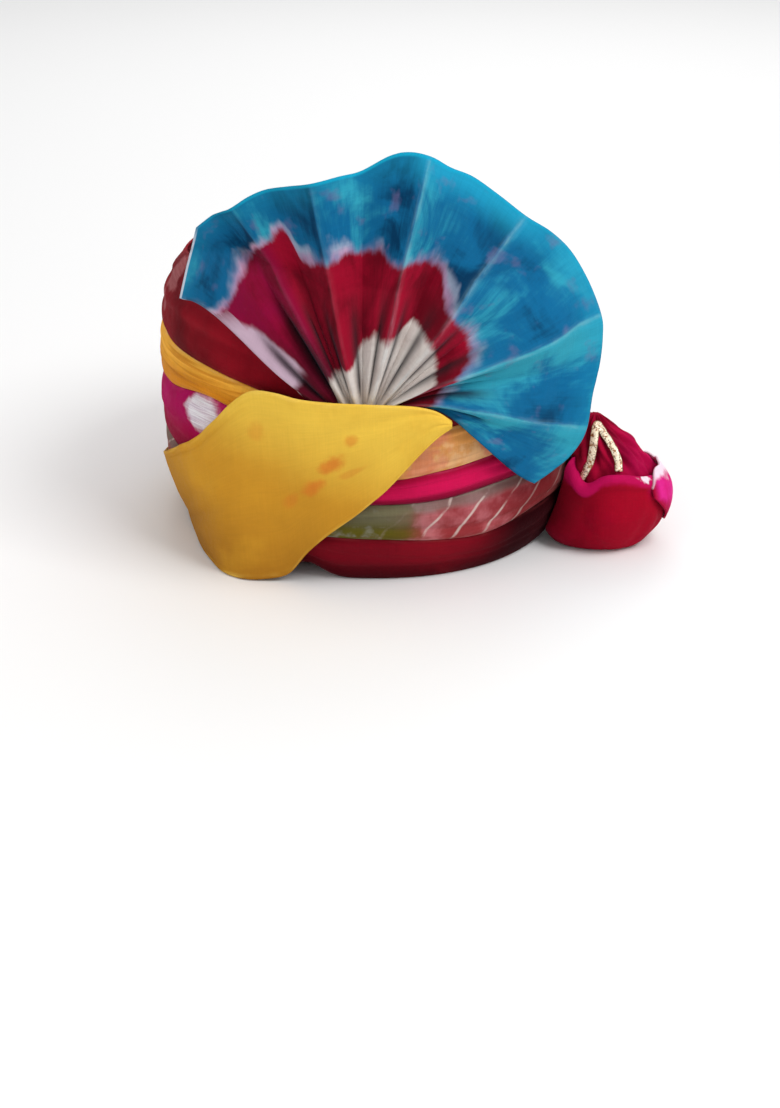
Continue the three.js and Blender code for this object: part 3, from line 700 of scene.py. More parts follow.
def fan_piece():
    fold = np.linspace(0, LAST_FOLD, LAST_FOLD * FAN_SPLIT + 1)
    tucked = [-TUCKED_IN, -TUCKED_IN / 2]
    along = np.concatenate([tucked, np.linspace(0, 1, FAN_ROWS) ** ROWS_CLOSER])[:, None]
    inside = np.maximum(along, 0)
    smooth = {name: column(FAN_FOLDS, name, fold) for name in FAN_FOLDS}
    sharp = {name: np.interp(fold, FAN_FOLDS["fold"], FAN_FOLDS[name]) for name in FAN_FOLDS}
    cornered = {name: np.where(fold < CORNER_FOLD, sharp[name], smooth[name]) for name in FAN_FOLDS}
    phase = np.interp(fold, RIDGE_FOLDS, np.arange(len(RIDGE_FOLDS)))
    ridge_apart = np.abs(phase - np.round(phase))
    inner_apart = np.abs((2 * phase + 0.5) - np.round(2 * phase + 0.5)) / 2
    near = ease(inside, 0.0, 0.1) * fade(inside, 0.3, 0.55)
    rise = PLEAT_MORE * mix(sharp["rise"], smooth["rise"], ease(inside, 0.4, 1.1)) * pleat_share(inside)
    rise = rise + INNER_PLEAT * near * (INNER_LIFT - bell(inner_apart / INNER_WIDTH))
    x = mix(sharp["root_x"], cornered["rim_x"], inside)
    z = mix(FAN_ROOT_Z, cornered["rim_z"], inside)
    z = z + cornered["bend"] * THIRDS * inside * (1 - inside) ** 2
    z = z + CORNER_BOW * THIRDS * inside**2 * (1 - inside) * fade(fold, BOW_FROM, BOW_TO)
    z = z + np.minimum(along, 0) / TUCKED_IN * (FAN_ROOT_Z - FAN_TAIL_Z)
    wave = creases("fan", np.stack([x, 0 * x, z], -1)) * ease(inside, 0.3, 0.8)
    middle = np.stack([x, fan_middle(x, z) - rise - wave, z], -1)
    half = FAN_HALF * (1 + HEM_MORE * ease(inside, 1 - FAN_RIM, 1 - FAN_RIM / 2))
    # The marks: along the ridges worn dye and a painted highlight, in the pleats' inner valleys painted
    # shade, and the place across each pleat for its painted light and shade
    marks = {
        "ridge": bell(ridge_apart / mix(RIDGE_WIDE, RIDGE_NARROW, inside)),
        "valley_shade": bell(inner_apart / VALLEY_WIDTH) * near,
        "facet": phase - np.floor(phase),
    }
    return sheet_piece("fan", middle, half, grid(along[:, 0], fold / LAST_FOLD), marks)


# The gathered cloth behind the fan's root, pressed against the hat

GATHER_X, GATHER_Z = -4.0, 106.0
GATHER_HALF_X, GATHER_HALF_Z = 31.0, 20.0
GATHER_STAND, GATHER_SUNK = 2.6, -1.0  # how far its face stands out from the hat, and its back
GATHER_FOLD, GATHER_CLOSE, GATHER_SPREAD = 0.5, 0.9, 0.02  # its folds: depth, number and how they spread
GATHER_ROWS, GATHER_AROUND = 16, 120


def gather_piece():
    angle = np.linspace(0, 360, GATHER_AROUND, endpoint=False)
    share = np.sin(np.linspace(0, np.pi / 2, GATHER_ROWS))[:, None]
    x = GATHER_X + GATHER_HALF_X * share * cosine(angle)
    z = GATHER_Z + GATHER_HALF_Z * share * sine(angle)
    folded = np.sin(GATHER_CLOSE * x + GATHER_SPREAD * (z - GATHER_Z) * (x - GATHER_X))
    folds = GATHER_FOLD * folded * (1 - share**4)
    face = np.stack([x, body_front(x, z, GATHER_STAND) - folds, z], -1)
    back = np.stack([x, body_front(x, z, GATHER_SUNK), z], -1)[::-1]
    points = np.concatenate([face, back])
    around = np.linspace(0, 1, GATHER_AROUND + 1)
    return piece("fan_gather", points, grid(np.linspace(0, 1, len(points)), around))


# The rolled tail

TAIL_AROUND = 220
# The cup's skin from the middle of its foot, up its outside, over the rolled lip and down inside
ROLL_PATH = table(
    "step z half clear",
    [
        (0, 0, 0, 1.2), (1, 0, 9, 1.2), (2, 0.2, 17.5, 1.2), (3, 3, 23, 1.2),
        (4, 11, 29.4, 1.2), (5, 18, 32.4, 1.2), (6, 25, 34, 1.2), (7, 33, 33.4, 1.2),
        (8, 38, 32.5, 1.2), (9, 40.5, 32.1, 1.2), (10, 43.5, 32.6, 1.2), (11, 47.3, 31.4, 2.5),
        (12, 49.2, 28.8, 4), (13, 48, 26.2, 6), (14, 44, 25.2, 7), (15, 34, 24.6, 7),
        (16, 21, 20, 7), (17, 11, 12, 7), (18, 10, 0, 7),
    ],
)
ROLL_ROWS = 90
LIP_WAVE = 0.5  # how far its rolled lip waves in and out
# Dents and folds round the cup: where, how wide in degrees, how high up it reaches and how deep
ROLL_FOLDS = table(
    "at lean spread low high depth",
    [
        (-128, 14, 9, 6, 36, 1.6),
        (-96, -20, 6, 2, 20, 0.9),
        (-62, 12, 8, 4, 30, 1.2),
        (-28, -10, 7, 8, 38, 1.4),
        (12, 16, 8, 4, 34, 1.5),
        (60, -12, 9, 6, 36, 1.5),
        (104, 10, 8, 4, 30, 1.2),
        (150, -14, 10, 6, 34, 1.4),
    ],
)


def roll_piece():
    angle = all_round(TAIL_AROUND)
    step = along_key(ROLL_PATH, ROLL_ROWS)[:, None]
    z, half, clear = columns(ROLL_PATH, step)
    z = np.maximum(z, 0) * np.ones(TAIL_AROUND)
    relief = np.zeros_like(z)
    for at, lean, spread, low, high, depth in each_row(ROLL_FOLDS):
        apart = angle_apart(angle, at + lean * (z - low) / (high - low)) / spread
        relief -= depth * ease(z, low - 6, low + 6) * fade(z, high - 8, high + 6) * bell(apart)
    relief *= fade(step, 9, 12)
    plain = roll_point(angle, z, half, clear)
    relief += creases("roll", plain) * ease(step, 2.5, 5) * fade(step, 13, 15)
    wave = LIP_WAVE * sine(angle * 11 + 40 * sine(angle * 2))
    relief += wave * ease(step, 8, 11) * fade(step, 13, 16)
    points = roll_point(angle, z, half + relief, clear)
    return round_piece("tail_roll", points, np.append(step[:, 0] / step[-1], 1), True)


TUCK_ROWS = 70
# The tuck's gathers: how many round it, how each is turned as it climbs, and how deep it is
TUCK_GATHERS = table("count twist phase depth", [(9, 25, 0, 1.3), (14, -40, 60, 0.9), (23, 30, 200, 0.45)])
TWIST_Z, TWIST_OVER = 44.0, 36.0
# The gathered cloth is full at its front left, where it fills the corner between the cup and the hat
FULL_SIDE, FULL_SPREAD, FULL_MORE = -62.0, 30.0, 7.0
FULL_STARTS, FULL_ENDS = (44, 53), (58, 74)  # heights
TUCK_SIDEWAYS, SIDEWAYS_HEIGHTS = 4.0, (50, 74)  # how far its top leans over to the hat, and from where


def tuck_point(side, z, out, gathered=0.0):
    x, y, half, gather = columns(TUCK_LEVELS, z)
    full = FULL_MORE * swelling(side, FULL_SIDE, FULL_SPREAD)
    full = full * ease(z, *FULL_STARTS) * fade(z, *FULL_ENDS)
    reach = half + gather * gathered + full + out
    across = x - TUCK_SIDEWAYS * ease(z, *SIDEWAYS_HEIGHTS) + reach * sine(side)
    forward = y - reach * ROLL_DEPTH_SHARE * cosine(side)
    clear = mix(PRESSED_TUCK, PRESSED_OUTSIDE, ease(z, TUCK_LEANS_FROM, TUCK_LEANS_TO))
    return pressed_out(across, forward, z, clear + out)


def tuck_piece():
    side = all_round(TAIL_AROUND)
    z = along_key(TUCK_LEVELS, TUCK_ROWS)[:, None] * np.ones(TAIL_AROUND)
    gathered = np.zeros_like(z)
    for count, twist, phase, depth in each_row(TUCK_GATHERS):
        gathered += depth * sine((side + twist * (z - TWIST_Z) / TWIST_OVER) * count + phase)
    crushed = creases("tuck", tuck_point(side, z, 0)) * ease(z, 30, 50) * fade(z, 70, 77)
    points = tuck_point(side, z, crushed, gathered)
    foot, tip = (np.broadcast_to(end.mean(axis=0), points[:1].shape) for end in (points[0], points[-1]))
    points = np.concatenate([foot, points, tip])
    return round_piece("tail_tuck", points, np.linspace(0, 1, len(points)), False)


FLAP_ROWS, FLAP_COLUMNS = 40, 80
FLAP_HALF, FLAP_OUT = 0.6, 1.4
FLAP_LOW_WAVE, FLAP_HIGH_WAVE, FLAP_WAVE, FLAP_RELIEF = 1.5, 1.0, 0.6, 0.7


def flap_piece():
    angle = along_key(FLAP_EDGES, FLAP_COLUMNS)
    up = np.linspace(0, 1, FLAP_ROWS)[:, None]
    low, high = columns(FLAP_EDGES, angle)
    z = mix(low + FLAP_LOW_WAVE * sine(angle * 7), high + FLAP_HIGH_WAVE * sine(angle * 9 + 60), up)
    half = column(FLAP_PROFILE, "half", z)
    plain = roll_point(angle, z, half, PRESSED_OUTSIDE)
    relief = creases("flap", plain) + FLAP_WAVE * np.sin(np.radians(angle * 6) + 3 * up)
    middle = roll_point(angle, z, half + FLAP_OUT + relief * FLAP_RELIEF, PRESSED_OUTSIDE)
    return sheet_piece("tail_flap", middle, FLAP_HALF, grid(up[:, 0], np.linspace(0, 1, FLAP_COLUMNS)))


GOLD_PATH = table(
    "step side z",
    [
        (0, -39, 45.5), (1, -29, 53.5), (2, -17, 63), (3, -5, 70), (4, 7, 74),
        (5, 16, 72), (6, 19, 66.5), (7, 16.5, 59.5), (8, 9, 51),
    ],
)
GOLD_STEPS, GOLD_ROWS = 90, 13
GOLD_WIDE, GOLD_HALF, GOLD_OFF, GOLD_CROWN, GOLD_RIPPLE = 4.3, 0.4, 2.3, 2.2, 0.25


def gold_piece():
    """The ribbon edging, laid over the gathered end as an upside-down V."""
    along = np.linspace(0, 1, GOLD_STEPS)
    side, z = columns(GOLD_PATH, along_key(GOLD_PATH, GOLD_STEPS))
    middle = tuck_point(side, z, GOLD_OFF)
    forward = unit(np.gradient(middle, axis=0))
    out = np.stack([sine(side), -cosine(side), np.full_like(side, 0.55)], -1)
    across = unit(np.cross(forward, out))
    share = np.linspace(-0.5, 0.5, GOLD_ROWS)[:, None, None]
    stand = (0.25 - share**2) * GOLD_CROWN + GOLD_RIPPLE * np.sin(along * 70)[None, :, None]
    points = middle + across * share * GOLD_WIDE + np.cross(across, forward) * stand
    return sheet_piece("gold_trim", points, GOLD_HALF, grid(share[:, 0, 0] + 0.5, along))


# Materials. Colours are 0 to 255 on screen.

THREAD = 0.00042  # from one thread to the next, in metres
# How strong each bump is and how high it stands, in metres
CREASE_BUMP, FINE_BUMP, WEAVE_BUMP, RIB_BUMP = (0.4, 0.002), (0.35, 0.0004), (0.4, 0.00014), (0.8, 0.0003)


def srgb(red, green, blue):
    """A colour as 0 to 255 on screen, made linear."""
    share = np.array([red, green, blue]) / 255
    linear = np.where(share <= 0.04045, share / 12.92, ((share + 0.055) / 1.055) ** 2.4)
    return (*linear.tolist(), 1.0)


class Value:
    """A number in a node tree, for sums and products with others and with plain numbers."""

    def __init__(self, paint, socket):
        self.paint = paint
        self.socket = socket

    def math(self, operation, other=None):
        return self.paint.math(operation, self, other)

    __add__ = partialmethod(math, "ADD")
    __sub__ = partialmethod(math, "SUBTRACT")
    __mul__ = partialmethod(math, "MULTIPLY")
    __truediv__ = partialmethod(math, "DIVIDE")
    __pow__ = partialmethod(math, "POWER")
    __abs__ = partialmethod(math, "ABSOLUTE")

    def __rsub__(self, other):
        return self.paint.math("SUBTRACT", other, self)

    def between(self, low, high, first=0.0, last=1.0):
        """Eased from first at low to last at high."""
        inputs = {"Value": self, "From Min": low, "From Max": high, "To Min": first, "To Max": last}
        return self.paint.value("MapRange", inputs, interpolation_type="SMOOTHSTEP")

    def window(self, low, full, past, end):
        """1 from full to past, eased to 0 at low and at end."""
        return self.between(low, full) * self.between(past, end, 1.0, 0.0)

    def curve(self, points):
        """A curve through points, each a place and a value from 0 to 1."""
        made = self.paint.node("FloatCurve", {"Value": self})
        line = made.mapping.curves[0]
        for at, height in points[1:-1]:
            line.points.new(at, height)
        for point, (at, height) in zip(line.points, points):
            point.location = (at, height)
        made.mapping.update()
        return Value(self.paint, made.outputs[0])

    def dye(self, low, high, first, second, most=1.0):
        """The first colour where the value is low, and the second, or most of it, where it is high."""
        return self.paint.mixed(self.between(low, high, 0.0, most), first, second)


class Paint:
    """One material's node tree. Values, sockets and plain numbers may be mixed as inputs."""

    def __init__(self, name):
        self.material = bpy.data.materials.new(name)
        self.material.use_nodes = True
        self.tree = self.material.node_tree
        self.tree.nodes.clear()

    def feed(self, socket, value):
        if isinstance(value, Value):
            value = value.socket
        if isinstance(value, bpy.types.NodeSocket):
            self.tree.links.new(value, socket)
        elif value is not None:
            socket.default_value = value

    def node(self, kind, inputs=None, **settings):
        made = self.tree.nodes.new("ShaderNode" + kind)
        for name, value in settings.items():
            setattr(made, name, value)
        for name, value in (inputs or {}).items():
            self.feed(made.inputs[name], value)
        return made

    def value(self, kind, inputs, output=0, **settings):
        return Value(self, self.node(kind, inputs, **settings).outputs[output])

    def math(self, operation, first, second=None):
        return self.value("Math", {0: first, 1: second}, operation=operation)

    def uv(self, name):
        return self.node("UVMap", uv_map=name).outputs["UV"]

    def place(self):
        """Where a point is on the object, in metres."""
        return self.node("TexCoord").outputs["Object"]

    def parts(self, vector):
        """A vector's x, y and z."""
        made = self.node("SeparateXYZ", {0: vector})
        return [Value(self, made.outputs[name]) for name in "XYZ"]

    def on_cloth(self):
        """Where a point is on its cloth: the two numbers of its place."""
        return self.parts(self.uv("place"))[:2]

    def mark(self, name):
        return self.value("Attribute", {}, "Fac", attribute_name=name)

    def length(self, x, y):
        flat = self.node("CombineXYZ", {0: x, 1: y}).outputs[0]
        return self.value("VectorMath", {0: flat}, "Value", operation="LENGTH")

    def noise(self, vector, scale, detail=3.0, roughness=0.5, distortion=0.0):
        """Soft noise. A scale of two or three numbers stretches it along the vector's parts."""
        if isinstance(scale, tuple):
            stretch = (*scale, 1.0)[:3]
            vector = self.node("VectorMath", {0: vector, 1: stretch}, operation="MULTIPLY").outputs[0]
            scale = 1.0
        inputs = {"Vector": vector, "Scale": scale, "Detail": detail, "Roughness": roughness}
        return self.value("TexNoise", {**inputs, "Distortion": distortion}, "Fac")

    def mixed(self, share, first, second, blend="MIX"):
        made = self.node("Mix", {"Factor": share}, data_type="RGBA", blend_type=blend)
        for name, colour in {6: first, 7: second}.items():
            self.feed(made.inputs[name], srgb(*colour) if isinstance(colour, tuple) else colour)
        return made.outputs[2]

    def bump(self, height, size, under=None):
        inputs = {"Strength": size[0], "Distance": size[1], "Height": height, "Normal": under}
        return self.node("Bump", inputs).outputs[0]

    def weave(self):
        """The height of a plain weave: warp and weft take turns on top."""
        threads = self.parts(self.uv("thread"))[:2]
        first, second = ((side * (np.pi / THREAD)).math("SINE") for side in threads)
        over = (first * second).math("GREATER_THAN", 0.0)
        return over * abs(first) + (1.0 - over) * abs(second)

    def cloth(self, colour, tint, roughness=0.8, crumple=1.0, streak=0.12):
        """Cotton: dye that took unevenly along the threads, a weave, small creases and a soft sheen.

        tint is the sheen's colour, and unlike the dyes it is given in linear shares.
        """
        thread, place = self.uv("thread"), self.place()
        patches = self.noise(place, 28.0, 4, 0.6)
        tone = self.noise(thread, (1500, 60), 2) + self.noise(thread, (60, 1500), 2) + patches * 2.0
        toned = self.mixed(1.0, colour, tone.between(1.2, 2.8, 1 - streak, 1 + streak), "MULTIPLY")
        small = self.noise(thread, 240.0, 5, 0.6)
        strength, height = CREASE_BUMP
        bump = self.bump(self.noise(place, 70.0, 4, 0.55, 0.6), (strength, height * crumple))
        bump = self.bump(small, FINE_BUMP, bump)
        inputs = {
            "Base Color": toned,
            "Roughness": (small + patches).between(0.7, 1.3, roughness - 0.1, min(1.0, roughness + 0.1)),
            "Normal": self.bump(self.weave(), WEAVE_BUMP, bump),
            "Sheen Weight": 0.07,
            "Sheen Roughness": 0.45,
            "Sheen Tint": tint,
            "Specular IOR Level": 0.04,
        }
        return self.finish(inputs)

    def finish(self, inputs):
        shader = self.node("BsdfPrincipled", inputs)
        self.node("OutputMaterial", {0: shader.outputs[0]})
        return self.material


# Where the dye lies. HAT_ROUND is the way round the hat in millimetres.
HAT_ROUND = 795.0
PATCH_POWER = 3.5  # the patches' outline: 2 would be an ellipse, more is squarer
# Tied patches: their angle and height on the hat, half sizes along and up it in millimetres, how far they
# climb and lean, and how white they are
PATCH_COLUMNS = "angle z wide high slant lean strength"
MAGENTA_PATCHES = table(
    PATCH_COLUMNS,
    [
        (-48, 89.2, 18, 10.6, 0.34, 0.64, 1),
        (-112, 76, 13, 8, -0.1, -0.4, 0.9),
        (-157, 68, 17, 7, 0.08, 0.5, 0.85),
        (118, 71, 15, 8, 0.1, -0.5, 0.9),
        (157, 66, 11, 6, -0.1, 0.4, 0.8),
    ],
)
WRAP_PATCHES = table(
    PATCH_COLUMNS,
    [
        (-76, 150, 13, 9, 0.1, 0.2, 0.75),
        (-79, 133, 7, 6, 0.2, 0.3, 0.8),
        (-136, 134, 20, 9, 0.12, -0.5, 0.65),
        (128, 130, 18, 8, -0.1, 0.6, 0.7),
    ],
)
# Stains on the sash: the place along and up it, half sizes in the same shares, and how strong
SASH_STAINS = table(
    "along up wide high strength",
    [
        (0.829, 0.558, 0.024, 0.075, 0.75),
        (0.797, 0.433, 0.022, 0.07, 0.7),
        (0.753, 0.408, 0.018, 0.05, 0.35),
        (0.859, 0.708, 0.013, 0.055, 0.5),
        (0.7, 0.808, 0.02, 0.055, 0.25),
        (0.859, 0.433, 0.024, 0.04, 0.3),
    ],
)
# The small star that was tied in the cup's lip: its place round the cup and down the cup's skin, and its size
STAR_AT = (-0.15, 0.635)
STAR_INNER, STAR_OUTER, STAR_WIDE = 0.064, 0.084, 1.5
# How red the striped layer is round the hat, from the back by the left, the front and the right
STRIPED_RED = [
    (0, 0.15), (0.12, 0.85), (0.22, 0.2), (0.34, 0.9), (0.42, 0.2), (0.495, 0), (0.52, 0.25), (0.55, 0.9),
    (0.63, 0.9), (0.72, 0.1), (0.85, 0.9), (1, 0.15),
]
# The fan's dye edges: the fold from 0 to 30, and how far out along it the edge lies
HALO_EDGE = [
    (0, 0.96), (1.2, 0.875), (2.9, 0.715), (4.6, 0.715), (6.6, 0.8), (8.1, 0.83), (8.6, 0.71), (11.9, 0.7),
    (14.1, 0.605), (17.1, 0.64), (18.6, 0.545), (20.4, 0.48), (22.2, 0.44), (23.6, 0.36), (25.8, 0.25),
    (30, 0.07),
]
CRIMSON_EDGE = [
    (0, 0.93), (1.2, 0.84), (3, 0.68), (3.9, 0.67), (6.3, 0.75), (8, 0.79), (8.4, 0.66), (11.9, 0.65),
    (14.2, 0.57), (17.3, 0.61), (18.2, 0.52), (20.2, 0.45), (21.9, 0.41), (23.1, 0.29), (25.8, 0.21),
    (30, 0.04),
]
CENTRE_EDGE = [
    (0, 0), (4.5, 0), (5.5, 0.1), (9.9, 0.19), (12.7, 0.3), (14.5, 0.29), (16.2, 0.32), (16.8, 0.38),
    (18.1, 0.37), (18.9, 0.34), (20.9, 0.27), (22.8, 0.2), (23.4, 0.02), (30, 0),
]
# The undyed patch down the fan's lower left side: how many folds wide it is, from the gather to the edge
SIDE_PATCH = [(0, 0.125), (0.3, 0.12), (0.42, 0.108), (0.55, 0.09), (0.68, 0.078), (0.78, 0.07), (1, 0.066)]
# These run over the fan's folds from 0 to 1. First, how strongly the undyed ring shows.
HALO_SHOWN = [
    (0, 0.9), (0.1, 0.8), (0.2, 0.9), (0.27, 0.6), (0.4, 0.85), (0.48, 0.6), (0.55, 0.35), (0.62, 0.5),
    (0.75, 0.45), (1, 0.7),
]
# How light the blue is across the folds, where 0.5 is its mean: painted shade. Then how much it glows near
# the edge: a painted glow of light through the cloth
FAN_LIGHT = [
    (0, 0.3), (0.13, 0.2), (0.22, 0.45), (0.48, 0.45), (0.54, 0.25), (0.62, 0.25), (0.68, 0.45),
    (0.75, 0.6), (0.8, 0.85), (0.88, 0.7), (1, 0.6),
]
FAN_GLOW = [
    (0, 0.1), (0.2, 0.3), (0.45, 0.3), (0.5, 0.8), (0.6, 0.9), (0.68, 0.6), (0.75, 0.5), (0.85, 0.2),
    (1, 0.1),
]
# How strongly a painted highlight shows along the rim, over the folds
FAN_RIM_GLOW = [
    (0, 0.1), (0.12, 0.2), (0.2, 0.7), (0.45, 0.9), (0.52, 0.7), (0.62, 0.4), (0.8, 0.15), (1, 0.1),
]
# Where the very edge was left undyed, and how worn the ridges are and how strong their painted highlight is
FAN_RIM_BARE = [(0, 0), (0.055, 0.1), (0.075, 0.85), (0.12, 0.8), (0.14, 0), (1, 0)]
RIDGE_WEAR_AND_HIGHLIGHT = [(0, 0.1), (0.2, 0.2), (0.4, 0.25), (0.5, 0.9), (0.62, 1), (0.78, 1), (0.9, 0.8), (1, 0.8)]


def highest(values):
    return reduce(lambda one, other: one.math("MAXIMUM", other), values)


def fade_edges(paint, colour, pale, reach=0.08, strength=0.35):
    """Wear along a layer's two folded edges, where the dye has rubbed thin."""
    up = paint.on_cloth()[1]
    edge = up.math("MINIMUM", 1.0 - up)
    rubbed = paint.noise(paint.uv("thread"), (60, 400))
    worn = edge.between(0.0, reach, 1.0, 0.0) * rubbed.between(0.4, 0.7)
    return paint.mixed(worn * strength, colour, pale)


def by_turn(paint, colour, darker=0.8, lighter=1.12):
    """Each turn of a layer took the dye a little differently."""
    return paint.mixed(1.0, colour, paint.mark("turn").between(0.0, 1.0, darker, lighter), "MULTIPLY")


def tied_patches(paint, rows):
    """1 where the cloth was tied and kept from the dye: ragged patches, streaked along the layer."""
    round_it = paint.on_cloth()[0]
    place = paint.place()
    height = paint.parts(place)[2]
    shift = paint.noise(place, (110, 110, 170), 4, 0.6) * 0.7 + paint.noise(place, 60.0, 2) - 0.85
    patches = []
    for angle, z, wide, high, slant, lean, strength in each_row(rows):
        along = (round_it - angle / 360) * HAT_ROUND
        up = height * 1000.0 - z
        beside = abs((up * lean + along) / wide) ** PATCH_POWER
        above = abs((up - along * slant) / high) ** PATCH_POWER
        apart = (beside + above) ** (1 / PATCH_POWER)
        patches.append((apart + shift).between(0.74, 1.2, strength, 0.0))
    return highest(patches) * paint.noise(place, (45, 45, 1300)).between(0.32, 0.6, 0.88, 1.0)


def maroon_cloth(paint):
    round_it, up = paint.on_cloth()
    # Darker towards the bottom: painted shade under the layers that bulge out above it
    colour = up.dye(0.0, 0.75, (66, 5, 14), (116, 12, 27))
    colour = paint.noise(paint.place(), 22.0).dye(0.45, 0.75, colour, (134, 18, 32), 0.5)
    # Painted shadow under the rolled tail
    tail_shadow = round_it.window(0.05, 0.12, 0.26, 0.36)
    colour = paint.mixed(tail_shadow * 0.98, colour, (30, 1, 4))
    colour = fade_edges(paint, by_turn(paint, colour), (150, 60, 62))
    return paint.cloth(colour, (0.8, 0.15, 0.2, 1))


def striped_cloth(paint):
    """Dyed grey-green, olive and dusty red in turn, with thin undyed lines slanting across."""
    round_it, up = paint.on_cloth()
    place = paint.place()
    cloudy = paint.noise(place, 42.0, 4, 0.6)
    red_share = (round_it + (cloudy * 0.03 - 0.015) + 0.5).curve(STRIPED_RED)
    green = up.dye(0.25, 0.7, (92, 86, 22), (108, 104, 78))
    green = cloudy.dye(0.5, 0.62, green, (138, 138, 128), 0.75)
    red = cloudy.dye(0.4, 0.65, (154, 46, 58), (198, 104, 113))
    red = (up + (cloudy * 0.3 - 0.15)).dye(0.72, 0.9, red, (104, 98, 94), 0.75)
    colour = paint.mixed(red_share, green, red)
    slant = paint.noise(place, (14, 14, 24), 2) * 0.03 + (up**1.5 * -0.027 + round_it)
    lines = abs((slant * 36.0).math("FRACT") - 0.5)
    broken = paint.noise(place, 48.0, 4, 0.6).between(0.4, 0.56)
    shown = lines.between(0.015, 0.075, 1.0, 0.0) * broken * red_share.between(0.1, 0.6, 0.2, 0.8)
    colour = paint.mixed(shown, by_turn(paint, colour, 0.84), (206, 186, 178))
    # Painted shadow under the rolled tail, on the right
    tail_shadow = round_it.window(0.08, 0.13, 0.26, 0.36)
    colour = paint.mixed(tail_shadow * 0.68, colour, (96, 12, 19))
    colour = fade_edges(paint, colour, (150, 146, 130))
    return paint.cloth(colour, (0.8, 0.5, 0.45, 1))


def magenta_cloth(paint):
    """Magenta with undyed patches where the cloth was tied, one beside the sash."""
    round_it, up = paint.on_cloth()
    # Darker towards the lower edge, and on the right towards the top edge too: painted shade of the rolled
    # turns, lighter across their middle
    left = up.dye(0.2, 0.8, (142, 10, 48), (168, 4, 88))
    right = up.dye(0.02, 0.45, (120, 8, 40), (186, 17, 72))
    right = up.dye(0.75, 1.0, right, (150, 10, 52))
    colour = paint.mixed(round_it.window(-0.12, 0.0, 0.3, 0.46), left, right)
    colour = paint.noise(paint.place(), 34.0).dye(0.45, 0.7, colour, (142, 8, 50), 0.4)
    fine = paint.noise(paint.place(), (60, 60, 1500))
    white = fine.dye(0.38, 0.62, (204, 192, 204), (232, 230, 234))
    colour = paint.mixed(tied_patches(paint, MAGENTA_PATCHES), by_turn(paint, colour), white)
    colour = fade_edges(paint, colour, (212, 90, 130))
    return paint.cloth(colour, (0.9, 0.2, 0.5, 1))


def amber_cloth(paint):
    """Golden yellow on the left that turns to blotched peach on the right."""
    round_it, up = paint.on_cloth()
    place = paint.place()
    # Lighter towards the top: painted light from above
    gold = up.dye(0.3, 0.95, (218, 138, 30), (240, 176, 64))
    gold = paint.noise(place, (14, 14, 420)).dye(0.48, 0.66, gold, (186, 106, 18), 0.6)
    peach = paint.noise(place, 60.0, 4, 0.6).dye(0.42, 0.58, (218, 150, 82), (228, 176, 124))
    peach = paint.noise(place, 45.0).dye(0.52, 0.62, peach, (216, 128, 98), 0.7)
    colour = round_it.dye(-0.06, 0.01, gold, peach)
    colour = round_it.dye(0.3, 0.46, colour, gold)
    colour = fade_edges(paint, by_turn(paint, colour, 0.86, 1.06), (244, 204, 140), strength=0.6)
    return paint.cloth(colour, (0.9, 0.65, 0.35, 1), roughness=0.76)


def wine_cloth(paint):
    """Dark wine red, with paler tied places towards the sides and back."""
    round_it = paint.on_cloth()[0]
    colour = paint.noise(paint.place(), 24.0).dye(0.35, 0.65, (90, 6, 15), (131, 16, 29))
    # Painted light: lighter beside the fan
    painted_light_by_fan = round_it.window(-0.15, -0.1, -0.05, 0.0)
    colour = paint.mixed(painted_light_by_fan * 0.35, colour, (150, 16, 34))
    colour = by_turn(paint, colour, 0.78, 1.15)
    pale = paint.noise(paint.place(), (40, 40, 900)).dye(0.3, 0.7, (154, 82, 86), (170, 104, 105))
    colour = paint.mixed(tied_patches(paint, WRAP_PATCHES), colour, pale)
    colour = fade_edges(paint, colour, (150, 66, 70), 0.05)
    return paint.cloth(colour, (0.8, 0.2, 0.25, 1))


def crown_cloth(paint):
    colour = paint.noise(paint.place(), 26.0, 4).dye(0.35, 0.65, (98, 11, 25), (124, 18, 34))
    return paint.cloth(by_turn(paint, colour, 0.75, 1.2), (0.8, 0.2, 0.25, 1))


def yellow_cloth(paint):
    """Yellow, with painted light: bright above and ochre below and to the left, and small soft orange stains
    of dye.
    """
    place = paint.place()
    x, _, z = paint.parts(place)
    along, up = paint.on_cloth()
    cloudy = paint.noise(place, 26.0, 4, 0.55)
    # Painted light from above: lighter higher up and a little towards the right
    height = cloudy * 0.03 + (x * 0.3 + z)
    colour = height.dye(-0.03, 0.05, (158, 104, 30), (202, 144, 42))
    colour = height.dye(0.045, 0.105, colour, (234, 192, 72))
    colour = cloudy.dye(0.5, 0.7, colour, (206, 152, 44), 0.35)
    shift = paint.noise(place, 120.0, 4, 0.6) * 1.4 - 0.7
    stains = []
    for at, up_at, wide, high, strength in each_row(SASH_STAINS):
        apart = paint.length((along - at) / wide, (up - up_at) / high)
        stains.append((apart + shift).between(0.35, 1.15, strength, 0.0))
    colour = paint.mixed(highest(stains), colour, (212, 112, 40))
    colour = fade_edges(paint, colour, (238, 200, 92), 0.035, 0.6)
    return paint.cloth(colour, (0.9, 0.7, 0.3, 1), roughness=0.76, streak=0.07)


